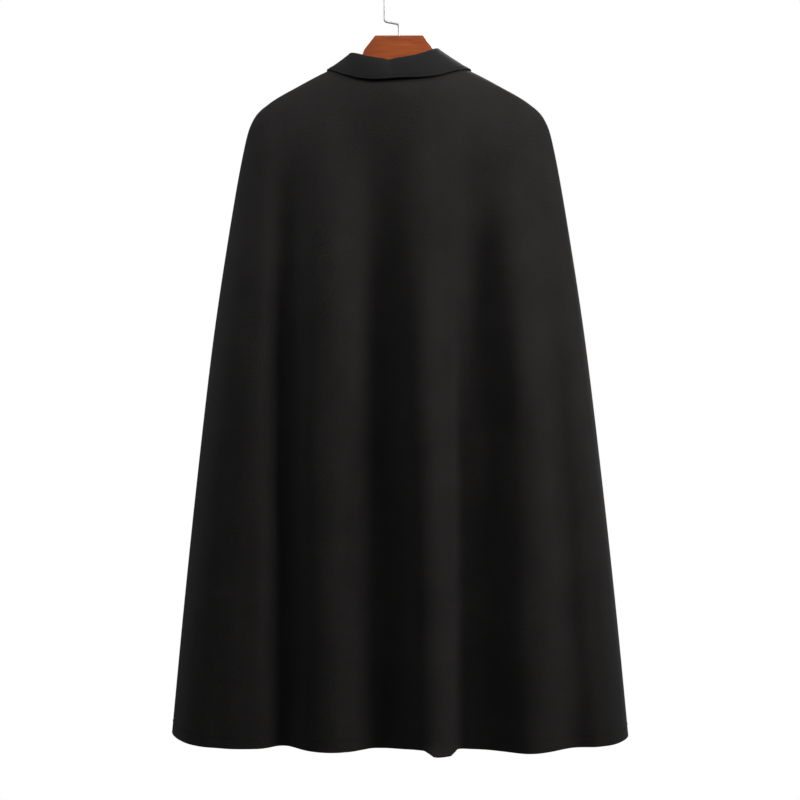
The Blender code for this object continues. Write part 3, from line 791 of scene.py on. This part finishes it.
# %% Collar
CollarStation = namedtuple(
    "CollarStation", "angle stand_height lean fall_level lift"
)
COLLAR_STATIONS = (
    CollarStation(0, 0.0290, 0.0030, 0.20, 0.0027),
    CollarStation(45, 0.0265, 0.0045, 0.58, 0.0012),
    CollarStation(90, 0.0195, 0.0095, 0.97, 0.0008),
    CollarStation(135, 0.0200, 0.0040, 1.10, 0.0036),
    CollarStation(180, 0.0200, 0.0020, 1.30, 0.0056),
)
COLLAR_FRONT_GAP = math.radians(1.6)
COLLAR_SPREAD = 0.030
SPREAD_BEGINS = math.radians(135)
FOLD_OVER_RADIUS = 0.0026
STAND_TURN = 0.006
STAND_SHARES = np.linspace(0.0, 1.0, 9)
FOLD_OVER_TURNS = np.linspace(140.0, 20.0, 9)
FALL_SHARES = np.linspace(0.16, 1.0, 22)
FALL_RISE_POWER = 1.6
FALL_LEAN_POWER = 1.6
FALL_STANDS_OFF = (-0.5, 0.6)
COLLAR_TILT = 0.045
COLLAR_SLIP = 0.007
COLLAR_SLIP_LEVEL = 0.10
COLLAR_COLUMNS = 130
DIP_ANGLE = math.radians(6.5)
DIP_WIDTH = math.radians(12)
DIP_DEPTH = 0.0030
DIP_LEAN = 0.0060


def bend(start, corner, end, share):
    """Places on a curve from start to end that is drawn toward a corner."""
    return (1 - share) ** 2 * start + 2 * share * (1 - share) * corner + share**2 * end


def collar_profile(angle):
    """The collar's middle line at one place on the neck, from the neck seam to its edge."""
    station_angle = abs(math.degrees(angle))
    rows = np.array([station[1:] for station in COLLAR_STATIONS])
    spacing = COLLAR_STATIONS[1].angle
    both_sides = np.vstack([rows[:0:-1], rows])
    height, lean, fall_level, lift = through_rows(
        both_sides, station_angle / spacing + len(rows) - 1
    )
    height = height - COLLAR_TILT * math.sin(angle) * SECTIONS[0].side_x
    dip = math.exp(-abs(angle - DIP_ANGLE) / DIP_WIDTH)
    height = height - DIP_DEPTH * dip
    lean = lean + DIP_LEAN * dip
    if abs(angle) < math.pi / 2:
        fall_level = fall_level + COLLAR_SLIP_LEVEL * math.sin(2 * angle)
    neck = cape_points(angle, 0.0)
    up_cloth = cape_normals(np.array(angle), np.array(0.0))[1]
    outward = unit(np.array([neck[0], neck[1], 0.0]))
    up = np.array([0.0, 0.0, 1.0])

    start = neck - up_cloth * SEAM_OVERLAP
    slip = np.array([COLLAR_SLIP * smooth_step(abs(angle), math.pi, math.pi / 2), 0.0, 0.0])
    fold_middle = (
        neck + up * (height - FOLD_OVER_RADIUS) - outward * (lean + FOLD_OVER_RADIUS) + slip
    )
    top = fold_middle - outward * FOLD_OVER_RADIUS
    stand = bend(start, start + up_cloth * STAND_TURN, top, STAND_SHARES[:, None])

    turns = np.radians(FOLD_OVER_TURNS)[:, None]
    fold = fold_middle + FOLD_OVER_RADIUS * (outward * np.cos(turns) + up * np.sin(turns))

    share = FALL_SHARES
    spread_out = COLLAR_SPREAD * smooth_step(abs(angle), SPREAD_BEGINS, math.pi)
    fall_levels = share * fall_level
    widths = through_rows(SECTIONS, fall_levels)[:, 0]
    fall_angles = angle - math.copysign(1.0, angle) * spread_out * share / widths
    points = cape_points(fall_angles, fall_levels)
    normals = cape_normals(fall_angles, fall_levels)[0]
    standing_off = ((COLLAR_CLOTH + CLOTH) / 2 + lift) * smooth_step(share, *FALL_STANDS_OFF)
    rise = (height - FOLD_OVER_RADIUS) * (1 - share) ** FALL_RISE_POWER
    fall = (
        points
        + normals * standing_off[:, None]
        + up * rise[:, None]
        + (slip - outward * lean) * ((1 - share) ** FALL_LEAN_POWER)[:, None]
    )
    return np.vstack([stand, fold, fall])


front_end = math.pi - COLLAR_FRONT_GAP
collar_angles = np.linspace(-front_end, front_end, COLLAR_COLUMNS + 1)
collar_points = np.stack([collar_profile(angle) for angle in collar_angles], axis=1)
collar_normals = grid_normals(collar_points)
neck_row = np.zeros_like(collar_angles)
collar_normals[0] = -cape_normals(collar_angles, neck_row)[0]
collar = cloth_wall(
    "collar_cloth", collar_points, collar_normals, COLLAR_CLOTH, collar_cloth
)
print("collar_cloth:", triangles_of(collar), "triangles")

# %% [markdown]
# ## Solids of revolution, lofts and tubes
# The hard pieces are built from rings of points. One function joins rings into a closed solid.
# The rings lie round an axis for the button, along the arms for the hanger, and along a bent
# line for wire and thread.

# %% Ring builders


def solid_from_rings(name, rings, surface, sharp_degrees):
    """A closed solid from rings of points, each with the same number, and a cap at each end."""
    bm = bmesh.new()
    loops = [[bm.verts.new(point) for point in ring] for ring in rings]
    for near, far in zip(loops, loops[1:]):
        for i in range(len(near)):
            j = (i + 1) % len(near)
            bm.faces.new((near[i], near[j], far[j], far[i]))
    bm.faces.new(loops[0][::-1])
    bm.faces.new(loops[-1])
    bmesh.ops.remove_doubles(bm, verts=bm.verts, dist=1e-6)
    bmesh.ops.recalc_face_normals(bm, faces=bm.faces)
    mesh = bpy.data.meshes.new(name)
    bm.to_mesh(mesh)
    bm.free()
    mesh.shade_smooth()
    mesh.set_sharp_from_angle(angle=math.radians(sharp_degrees))
    mesh.materials.append(surface)
    return add_object(name, mesh)


def full_turn(count):
    return np.linspace(0.0, 2 * math.pi, count, endpoint=False)


def circle(radius, height, count):
    turns = full_turn(count)
    return np.stack(
        [radius * np.cos(turns), radius * np.sin(turns), np.full(count, height)], axis=-1
    )


def cut_holes(piece, places, radius, depth, sides):
    """Drills round holes down from places, and leaves the piece a plain mesh."""
    cutters = []
    for i, place in enumerate(places):
        rings = [circle(radius, z, sides) + place for z in (-depth, depth)]
        cutter = solid_from_rings(f"cutter_{i}", rings, piece.data.materials[0], 40)
        cut = piece.modifiers.new(f"cut_{i}", "BOOLEAN")
        cut.object = cutter
        cutters.append(cutter)
    bake_modifiers(piece)
    for cutter in cutters:
        bpy.data.objects.remove(cutter, do_unlink=True)


def bake_modifiers(piece):
    """Turns what a piece's modifiers make into its own plain mesh."""
    graph = bpy.context.evaluated_depsgraph_get()
    finished = bpy.data.meshes.new_from_object(piece.evaluated_get(graph))
    piece.modifiers.clear()
    piece.data = finished


def tube(name, path, radii, sides, surface, sharp_degrees=60):
    """A closed tube along a path. Its rings are carried along without twist."""
    path = np.array(path, float)
    ahead = unit(np.gradient(path, axis=0))
    across = np.array([0.0, 1.0, 0.0])
    rings = []
    turns = full_turn(sides)[:, None]
    for point, forward, radius in zip(path, ahead, radii):
        across = unit(across - forward * np.dot(across, forward))
        upward = np.cross(forward, across)
        rings.append(point + radius * (across * np.cos(turns) + upward * np.sin(turns)))
    return solid_from_rings(name, rings, surface, sharp_degrees)


# %% [markdown]
# ## The wooden hanger
# The hanger is a flat board: a narrow neck with nearly square edges, that widens into two arms
# with well rounded ones. Its arms follow the cape's shoulder seam from a little below it, which
# is what holds the cape up. It is stained a warm red-brown and varnished, so the grain shows
# through a clear coat.

# %% Hanger wood
WOOD_TOP_Z = -0.0790
WOOD_HALF_THICKNESS = 0.0066
ARM_CLEARANCE = 0.0023
WoodRing = namedtuple("WoodRing", "x top_z bottom_z edge")
NECK_RINGS = (
    WoodRing(0.0000, -0.0790, -0.1440, 0.0016),
    WoodRing(0.0350, -0.0790, -0.1465, 0.0016),
    WoodRing(0.0362, -0.0798, -0.1466, 0.0016),
    WoodRing(0.0520, -0.1000, -0.1490, 0.0026),
    WoodRing(0.0590, -0.1180, -0.1510, 0.0046),
    WoodRing(0.0700, -0.1280, -0.1530, 0.0066),
    WoodRing(0.0860, -0.1325, -0.1560, 0.0066),
)
ARM_STARTS_X = 0.100
ARM_ENDS_X = 0.198
ARM_RINGS = 26
ARM_HEIGHTS = (0.0250, 0.0200)
END_LENGTH = 0.0090
END_DROP = 0.0040
END_TURNS = np.linspace(8.0, 86.0, 12)
WOOD_CORNER_STEPS = 6
WOOD_SHARP_DEGREES = 35
STEM_HOLE_RADIUS = 0.0020
STEM_HOLE_DEPTH = 0.0203
STEM_HOLE_SIDES = 24
SHOULDER_LEVELS = np.linspace(0.0, 5.0, 400)
FIGURE_SHARE = 0.55
WOOD_TONES = (
    (0.32, (0.200, 0.040, 0.0104)),
    (0.48, (0.335, 0.073, 0.0165)),
    (0.66, (0.480, 0.128, 0.0315)),
)


def shoulder_line(x):
    """Height of the cape's shoulder seam above a place on the arm, and the seam's slope there."""
    line = cape_points(math.pi / 2, SHOULDER_LEVELS, creased=False)
    z = np.interp(x, line[:, 0], line[:, 2])
    step = 0.002
    return z, (np.interp(x + step, line[:, 0], line[:, 2]) - z) / step


def arm_ring(x, height, drop=0.0):
    seam_z, slope = shoulder_line(x)
    top_z = seam_z - ARM_CLEARANCE * math.hypot(1.0, slope) - drop
    return WoodRing(x, top_z, top_z - height, min(WOOD_HALF_THICKNESS, 0.49 * height))


def wood_rings():
    """The hanger's rings from its middle out to one tip."""
    rings = list(NECK_RINGS)
    for share in np.linspace(0.0, 1.0, ARM_RINGS):
        height = ARM_HEIGHTS[0] + (ARM_HEIGHTS[1] - ARM_HEIGHTS[0]) * share
        rings.append(arm_ring(ARM_STARTS_X + (ARM_ENDS_X - ARM_STARTS_X) * share, height))
    for turn in np.radians(END_TURNS):
        x = ARM_ENDS_X + END_LENGTH * math.sin(turn)
        rings.append(
            arm_ring(x, ARM_HEIGHTS[1] * math.cos(turn), END_DROP * (1 - math.cos(turn)))
        )
    return rings


def wood_section(ring):
    """Points round one ring: a rectangle with four rounded edges."""
    points = []
    for corner, (side, end) in enumerate(((1, 1), (-1, 1), (-1, -1), (1, -1))):
        centre_y = side * (WOOD_HALF_THICKNESS - ring.edge)
        centre_z = ring.top_z - ring.edge if end > 0 else ring.bottom_z + ring.edge
        turns = math.pi / 2 * (corner + np.linspace(0.0, 1.0, WOOD_CORNER_STEPS + 1))
        points.extend(
            (ring.x, centre_y + ring.edge * math.cos(t), centre_z + ring.edge * math.sin(t))
            for t in turns
        )
    return points


def varnished_wood():
    made, tree, shader, place = new_material("varnished_wood")
    grain = noise(tree, place, 520.0, detail=6.0, roughness=0.66, stretch=(0.05, 1.0, 1.0))
    figure = noise(tree, place, 30.0, detail=3.0, stretch=(0.30, 1.0, 1.0))
    set_up(
        shader,
        Base_Color=ramp(tree, blended(tree, grain, figure, FIGURE_SHARE), WOOD_TONES),
        Roughness=spread(tree, grain, 0.34, 0.46),
        Normal=bump(tree, grain, 0.15, 0.0002),
        Specular_IOR_Level=0.25,
        Coat_Weight=0.25,
        Coat_Roughness=0.20,
        Coat_IOR=1.45,
    )
    return made


half_rings = wood_rings()
other_half = [ring._replace(x=-ring.x) for ring in half_rings[:0:-1]]
hanger_wood = solid_from_rings(
    "hanger_wood_piece",
    [wood_section(ring) for ring in other_half + half_rings],
    varnished_wood(),
    WOOD_SHARP_DEGREES,
)
stem_place = np.array([0.0, 0.0, WOOD_TOP_Z])
cut_holes(hanger_wood, [stem_place], STEM_HOLE_RADIUS, STEM_HOLE_DEPTH, STEM_HOLE_SIDES)
print("hanger wood:", triangles_of(hanger_wood), "triangles")

# %% [markdown]
# ## The wire hook
# One length of plated wire makes the hook: a stem glued into the wood, a short jog to the side,
# a straight, and a round crook whose top rests on the rail at the origin. Its free end is
# rounded, as a rumbled end is.

# %% Hook
WIRE_RADIUS = 0.0017
HOOK_RADIUS = 0.0215
STEM_DEPTH = 0.0200
STEM_RISE = 0.0179
JOG_RISE = 0.0040
BEND_RADIUS = 0.0040
BEND_STEPS = 13
HOOK_SWEEP = math.radians(188)
WIRE_SIDES = 24
CROOK_STEPS = 72
WIRE_END_TURNS = (20.0, 40.0, 60.0, 78.0)


def rounded_path(corners, radius, steps):
    """The path through the corners, with each inner corner rounded by an arc-like curve."""
    corners = [Vector(corner) for corner in corners]
    path = [corners[0]]
    for before, corner, after in zip(corners, corners[1:], corners[2:]):
        begin = corner + (before - corner).normalized() * radius
        end = corner + (after - corner).normalized() * radius
        path.extend(bend(begin, corner, end, share) for share in np.linspace(0.0, 1.0, steps))
    path.append(corners[-1])
    return path


def plated_wire():
    made, tree, shader, place = new_material("plated_wire")
    drawn = noise(tree, place, 900.0, stretch=(1.0, 1.0, 0.08))
    rough = spread(tree, drawn, 0.36, 0.46)
    set_up(shader, Base_Color=(0.62, 0.62, 0.63), Metallic=1.0, Roughness=rough)
    return made


crook_z = WIRE_RADIUS - HOOK_RADIUS
wire_path = rounded_path(
    (
        (0.0, 0.0, WOOD_TOP_Z - STEM_DEPTH),
        (0.0, 0.0, WOOD_TOP_Z + STEM_RISE),
        (HOOK_RADIUS, 0.0, WOOD_TOP_Z + STEM_RISE + JOG_RISE),
        (HOOK_RADIUS, 0.0, crook_z),
    ),
    BEND_RADIUS,
    BEND_STEPS,
)
for turn in np.linspace(0.0, HOOK_SWEEP, CROOK_STEPS)[1:]:
    wire_path.append(
        Vector((HOOK_RADIUS * math.cos(turn), 0.0, crook_z + HOOK_RADIUS * math.sin(turn)))
    )
wire_radii = [WIRE_RADIUS] * len(wire_path)
crook_end = wire_path[-1]
onward = (wire_path[-1] - wire_path[-2]).normalized()
for turn in np.radians(WIRE_END_TURNS):
    wire_path.append(crook_end + onward * WIRE_RADIUS * math.sin(turn))
    wire_radii.append(WIRE_RADIUS * math.cos(turn))
hook = tube("hook_piece", wire_path, wire_radii, WIRE_SIDES, plated_wire())
for card in (bpy.data.objects["back_card"], bpy.data.objects["front_card"]):
    lit = bpy.data.collections.new(f"{card.name}_lights")
    lit.objects.link(hook)
    card.light_linking.receiver_collection = lit
print("hook:", triangles_of(hook), "triangles")

# %% [markdown]
# ## The neck button
# One plain black button closes the neck. It has a raised rim, a shallow dish and four holes, and
# it lies on the left front over the centre line. Two short bars of thread hold it.

# %% Button
BUTTON_LEVEL = 0.85
BUTTON_THICKNESS = 0.0038
BUTTON_SEAT_GAP = 0.0003
BUTTON_HOLE_RADIUS = 0.0012
BUTTON_HOLE_PITCH = 0.0026
BUTTON_HOLE_SIDES = 20
BUTTON_PROFILE = (
    (0.01190, 0.00000),
    (0.01222, 0.00008),
    (0.01243, 0.00029),
    (0.01250, 0.00060),
    (0.01250, 0.00320),
    (0.01243, 0.00351),
    (0.01222, 0.00372),
    (0.01190, 0.00380),
    (0.01060, 0.00380),
    (0.01025, 0.00370),
    (0.00995, 0.00345),
    (0.00970, 0.00305),
    (0.00935, 0.00286),
    (0.00880, 0.00280),
)
BUTTON_SIDES = 64
BUTTON_SHARP_DEGREES = 50
THREAD_RADIUS = 0.00045
THREAD_INSET = 0.0004
THREAD_BEND = 0.0007
THREAD_BEND_STEPS = 6
THREAD_SIDES = 12


def black_resin():
    made, tree, shader, place = new_material("black_resin")
    rough = spread(tree, noise(tree, place, 480.0, detail=4.0), 0.22, 0.36)
    set_up(shader, Base_Color=(0.012, 0.0118, 0.0125), Roughness=rough, Specular_IOR_Level=0.5)
    return made


def black_thread():
    made, tree, shader, place = new_material("black_thread")
    twist = bump(tree, noise(tree, place, 2400.0, detail=1.0), 0.5, 0.0001)
    set_up(shader, Base_Color=(0.0125, 0.012, 0.0125), Roughness=0.8, Normal=twist)
    set_up(shader, Specular_IOR_Level=0.25)
    return made


def stand_on(piece, place, direction):
    """Moves and turns a finished mesh, not its object, so that its z axis follows direction."""
    turned = Vector(direction).to_track_quat("Z", "Y").to_matrix().to_4x4()
    turned.translation = Vector(place)
    piece.data.transform(turned)


button_surface = black_resin()
thread_surface = black_thread()
button_normal = cape_normals(np.array(math.pi), np.array(BUTTON_LEVEL))[0]
button_seat = cape_points(math.pi, BUTTON_LEVEL) + button_normal * (
    TOP_SKIN_HEIGHT + BUTTON_SEAT_GAP
)
button = solid_from_rings(
    "button_piece",
    [circle(radius, height, BUTTON_SIDES) for radius, height in BUTTON_PROFILE],
    button_surface,
    BUTTON_SHARP_DEGREES,
)
pitches = (-BUTTON_HOLE_PITCH, BUTTON_HOLE_PITCH)
hole_places = [np.array([x, y, 0.0]) for x in pitches for y in pitches]
hole_depth = 3 * BUTTON_THICKNESS
cut_holes(button, hole_places, BUTTON_HOLE_RADIUS, hole_depth, BUTTON_HOLE_SIDES)
button.data.shade_smooth()
button.data.set_sharp_from_angle(angle=math.radians(BUTTON_SHARP_DEGREES))
stand_on(button, button_seat, button_normal)

left_x, right_x = pitches
low_z, high_z = THREAD_INSET, BUTTON_THICKNESS - THREAD_INSET
bars = []
for y in pitches:
    corners = ((left_x, low_z), (left_x, high_z), (right_x, high_z), (right_x, low_z))
    path = rounded_path([(x, y, z) for x, z in corners], THREAD_BEND, THREAD_BEND_STEPS)
    radii = [THREAD_RADIUS] * len(path)
    bars.append(tube("thread_bar", path, radii, THREAD_SIDES, thread_surface))
with bpy.context.temp_override(
    active_object=bars[0], selected_objects=bars, selected_editable_objects=bars
):
    bpy.ops.object.join()
button_thread = bars[0]
button_thread.name = "button_thread"
stand_on(button_thread, button_seat, button_normal)
print("button:", triangles_of(button), "triangles, thread:", triangles_of(button_thread))

# %% [markdown]
# ## Stitches
# Every stitch is the same small bar of thread, so it is modelled once and repeated by Geometry
# Nodes on a list of places. Each place carries the way the seam runs there and the way the cloth
# faces, and the node tree turns the bar to both, varies its length a little by a seeded random
# value, makes the copies real and gives them the thread's material. The hem is stitched where
# its turned edge ends inside, the upper front's edge and the collar are topstitched, and the
# buttonhole is worked with bars laid side by side round its slit.

# %% Stitch builder
STITCH_SEED = 7
HEM_STITCH_HEIGHT = 0.0180
FRONT_STITCH_INSET = 0.0080
COLLAR_STITCH_INSET = 0.0060
SEAM_STITCH_PITCH = 0.0042
SEAM_STITCH = (0.0031, 0.00032)
HOLE_STITCH_PITCH = 0.00078
HOLE_STITCH = (0.0024, 0.00034)
SHORTEST_SEAM_STITCH = 0.86
SHORTEST_HOLE_STITCH = 0.94
STITCH_SINK = 0.00005
STITCH_LIFT = 1.15
STITCH_DIP = 1.6
STITCH_SIDES = 8
Stitch = namedtuple("Stitch", "place along out")


def stitch_bar(length, radius):
    """One stitch along x: a bar that rises from the cloth and dips at both ends."""
    shares = np.linspace(-1.0, 1.0, 9)
    heights = radius * (STITCH_LIFT - STITCH_DIP * shares * shares)
    path = [(0.5 * length * share, 0.0, z) for share, z in zip(shares, heights)]
    radii = radius * np.sqrt(np.maximum(1.02 - shares**4, 0.12))
    return tube("stitch_bar", path, radii, STITCH_SIDES, thread_surface, 70)


def at_places(places, run, rows):
    """The rows of a line, read at some places on its run."""
    return np.stack([np.interp(places, run, column) for column in rows.T], axis=-1)


def points_along(line, facing, pitch):
    """Stitches at even steps along a line of points, with the facing there."""
    run = run_along(line)
    count = int(run[-1] / pitch)
    at = (np.arange(count) + 0.5) * run[-1] / count
    place = at_places(at, run, line)
    along = unit(np.gradient(place, axis=0))
    return [Stitch(*three) for three in zip(place, along, unit(at_places(at, run, facing)))]


def stitch_row(points, normals, edge, inset, thickness=CLOTH):
    """Stitches on a panel's outer skin, inset metres inside one of its edges."""
    if edge in ("hem", "last"):
        points, normals = points[::-1, ::-1], normals[::-1, ::-1]
    if edge in ("first", "last"):
        points, normals = points.swapaxes(0, 1), normals.swapaxes(0, 1)
    run = run_along(points)
    skin = points + normals * (thickness / 2 - STITCH_SINK)
    columns = range(points.shape[1])
    line, facing = (
        np.array([at_places(inset, run[:, c], grid[:, c]) for c in columns])
        for grid in (skin, normals)
    )
    return points_along(line, facing, SEAM_STITCH_PITCH)


def stitch_nodes():
    """A node tree that lays a bar on every point, turned to its along and out vectors."""
    tree = bpy.data.node_groups.new("stitches", "GeometryNodeTree")
    for name, way, kind in (
        ("Geometry", "INPUT", "Geometry"),
        ("Stitch", "INPUT", "Object"),
        ("Shortest", "INPUT", "Float"),
        ("Seed", "INPUT", "Int"),
        ("Thread", "INPUT", "Material"),
        ("Geometry", "OUTPUT", "Geometry"),
    ):
        tree.interface.new_socket(name, in_out=way, socket_type=f"NodeSocket{kind}")
    given = add_node(tree, "NodeGroupInput").outputs

    turned = {}
    for name, axis in (("out", "Z"), ("along", "X")):
        vector = add_node(
            tree, "GeometryNodeInputNamedAttribute", data_type="FLOAT_VECTOR", Name=name
        )
        way = vector.outputs["Attribute"]
        align = add_node(
            tree, "FunctionNodeAlignRotationToVector", axis=axis, Vector=way, **turned
        )
        turned = {"pivot_axis": "Z", "Rotation": align.outputs["Rotation"]}

    length = add_node(tree, "FunctionNodeRandomValue", Seed=given["Seed"])
    tree.links.new(given["Shortest"], length.inputs[2])
    size = add_node(tree, "ShaderNodeCombineXYZ", X=length.outputs[1], Y=1.0, Z=1.0)
    bar = add_node(tree, "GeometryNodeObjectInfo", Object=given["Stitch"])
    laid = add_node(
        tree,
        "GeometryNodeInstanceOnPoints",
        Points=given["Geometry"],
        Instance=bar.outputs["Geometry"],
        Rotation=turned["Rotation"],
        Scale=size.outputs["Vector"],
    )
    real = add_node(tree, "GeometryNodeRealizeInstances", Geometry=laid.outputs["Instances"])
    dressed = add_node(tree, "GeometryNodeSetMaterial", Geometry=real.outputs["Geometry"])
    set_up(dressed, Material=given["Thread"])
    add_node(tree, "NodeGroupOutput", Geometry=dressed.outputs["Geometry"])
    return tree


def lay_stitches(name, stitches, bar, shortest=SHORTEST_SEAM_STITCH):
    """A piece with one bar at every stitch, baked into a plain mesh."""
    mesh = bpy.data.meshes.new(name)
    mesh.from_pydata([tuple(stitch.place) for stitch in stitches], [], [])
    for field in ("along", "out"):
        vectors = np.array([getattr(stitch, field) for stitch in stitches], np.float32)
        mesh.attributes.new(field, "FLOAT_VECTOR", "POINT").data.foreach_set(
            "vector", vectors.ravel()
        )
    piece = add_object(name, mesh)
    modifier = piece.modifiers.new("stitches", "NODES")
    modifier.node_group = stitch_tree
    values = {"Stitch": bar, "Shortest": shortest, "Seed": STITCH_SEED, "Thread": thread_surface}
    for item in stitch_tree.interface.items_tree:
        if item.in_out == "INPUT" and item.name in values:
            modifier[item.identifier] = values[item.name]
    bake_modifiers(piece)
    piece.data.shade_smooth()
    return piece


stitch_tree = stitch_nodes()
seam_bar = stitch_bar(*SEAM_STITCH)
hole_bar = stitch_bar(*HOLE_STITCH)
print("stitch:", triangles_of(seam_bar), "triangles")

# %% [markdown]
# The rows follow the panels' own grids, so they lie on the cloth wherever it swings. The
# buttonhole is 29 mm long, 4 mm more than the button, and the button sits at its end.

# %% Stitches laid
BUTTONHOLE_BEGINS_X = -0.002
BUTTONHOLE_ENDS_X = 0.027
BUTTONHOLE_HALF_WIDTH = 0.0016
LEVELS_NEAR = np.linspace(BUTTON_LEVEL - 0.3, BUTTON_LEVEL + 0.3, 200)


def buttonhole_places():
    """A row of places round a level slit through the left front, beside the button."""
    half = BUTTONHOLE_HALF_WIDTH
    begin, end = BUTTONHOLE_BEGINS_X + half, BUTTONHOLE_ENDS_X - half
    turns = np.linspace(-math.pi / 2, math.pi / 2, 13)
    outline = [(x, -half) for x in np.linspace(begin, end, 40)]
    outline += [(end + half * math.cos(t), half * math.sin(t)) for t in turns[1:]]
    outline += [(x, half) for x in np.linspace(end, begin, 40)[1:]]
    outline += [(begin - half * math.cos(t), -half * math.sin(t)) for t in turns[1:]]
    level_z = cape_points(math.pi, BUTTON_LEVEL)[2]
    width = through_rows(SECTIONS, np.array(BUTTON_LEVEL))[0]
    places, facing = [], []
    for x, up in outline:
        angle = math.pi - math.asin(x / width)
        column = cape_points(np.full(len(LEVELS_NEAR), angle), LEVELS_NEAR)
        level = np.interp(-(level_z + up), -column[:, 2], LEVELS_NEAR)
        normal = cape_normals(np.array(angle), np.array(level))[0]
        places.append(cape_points(angle, level) + normal * (TOP_SKIN_HEIGHT - STITCH_SINK))
        facing.append(normal)
    return np.array(places), np.array(facing)


left_cloth, *left = fronts["front_left"]
right_cloth, *right = fronts["front_right"]
collar_grid = collar_points, collar_normals
seam_rows = {
    "back_stitches": stitch_row(back_points, back_normals, "hem", HEM_STITCH_HEIGHT),
    "left_stitches": stitch_row(*left, "hem", HEM_STITCH_HEIGHT)
    + stitch_row(*left, "last", FRONT_STITCH_INSET),
    "right_stitches": stitch_row(*right, "hem", HEM_STITCH_HEIGHT),
    "collar_stitches": stitch_row(*collar_grid, "hem", COLLAR_STITCH_INSET, COLLAR_CLOTH),
}
stitches = {name: lay_stitches(name, row, seam_bar) for name, row in seam_rows.items()}
worked = [
    stitch._replace(along=np.cross(stitch.along, stitch.out))
    for stitch in points_along(*buttonhole_places(), HOLE_STITCH_PITCH)
]
stitches["buttonhole"] = lay_stitches("buttonhole", worked, hole_bar, SHORTEST_HOLE_STITCH)
for bar in (seam_bar, hole_bar):
    bpy.data.objects.remove(bar, do_unlink=True)
for name, piece in stitches.items():
    print(name, triangles_of(piece), "triangles")

# %% [markdown]
# ## What each piece stands for
# A dressed piece replaces its solid and rides on the one body of the part.

# %% Pieces in place of the solids
DRESSED = (
    (back_cloth, "back", "cape_cloth"),
    (left_cloth, "front_left", "cape_cloth"),
    (right_cloth, "front_right", "cape_cloth"),
    (collar, "collar", "cape_cloth"),
    (button, "neck_button", "button"),
    (hanger_wood, "hanger_wood", "hanger_wood"),
    (hook, "hanger_hook", "hook_wire"),
)
for piece, node, slot in DRESSED:
    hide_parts(node)
    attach(piece, "root")
for piece in (*stitches.values(), button_thread):
    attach(piece, "root")
print(len(DRESSED), "pieces replace the solids,", len(stitches) + 1, "more ride with them")
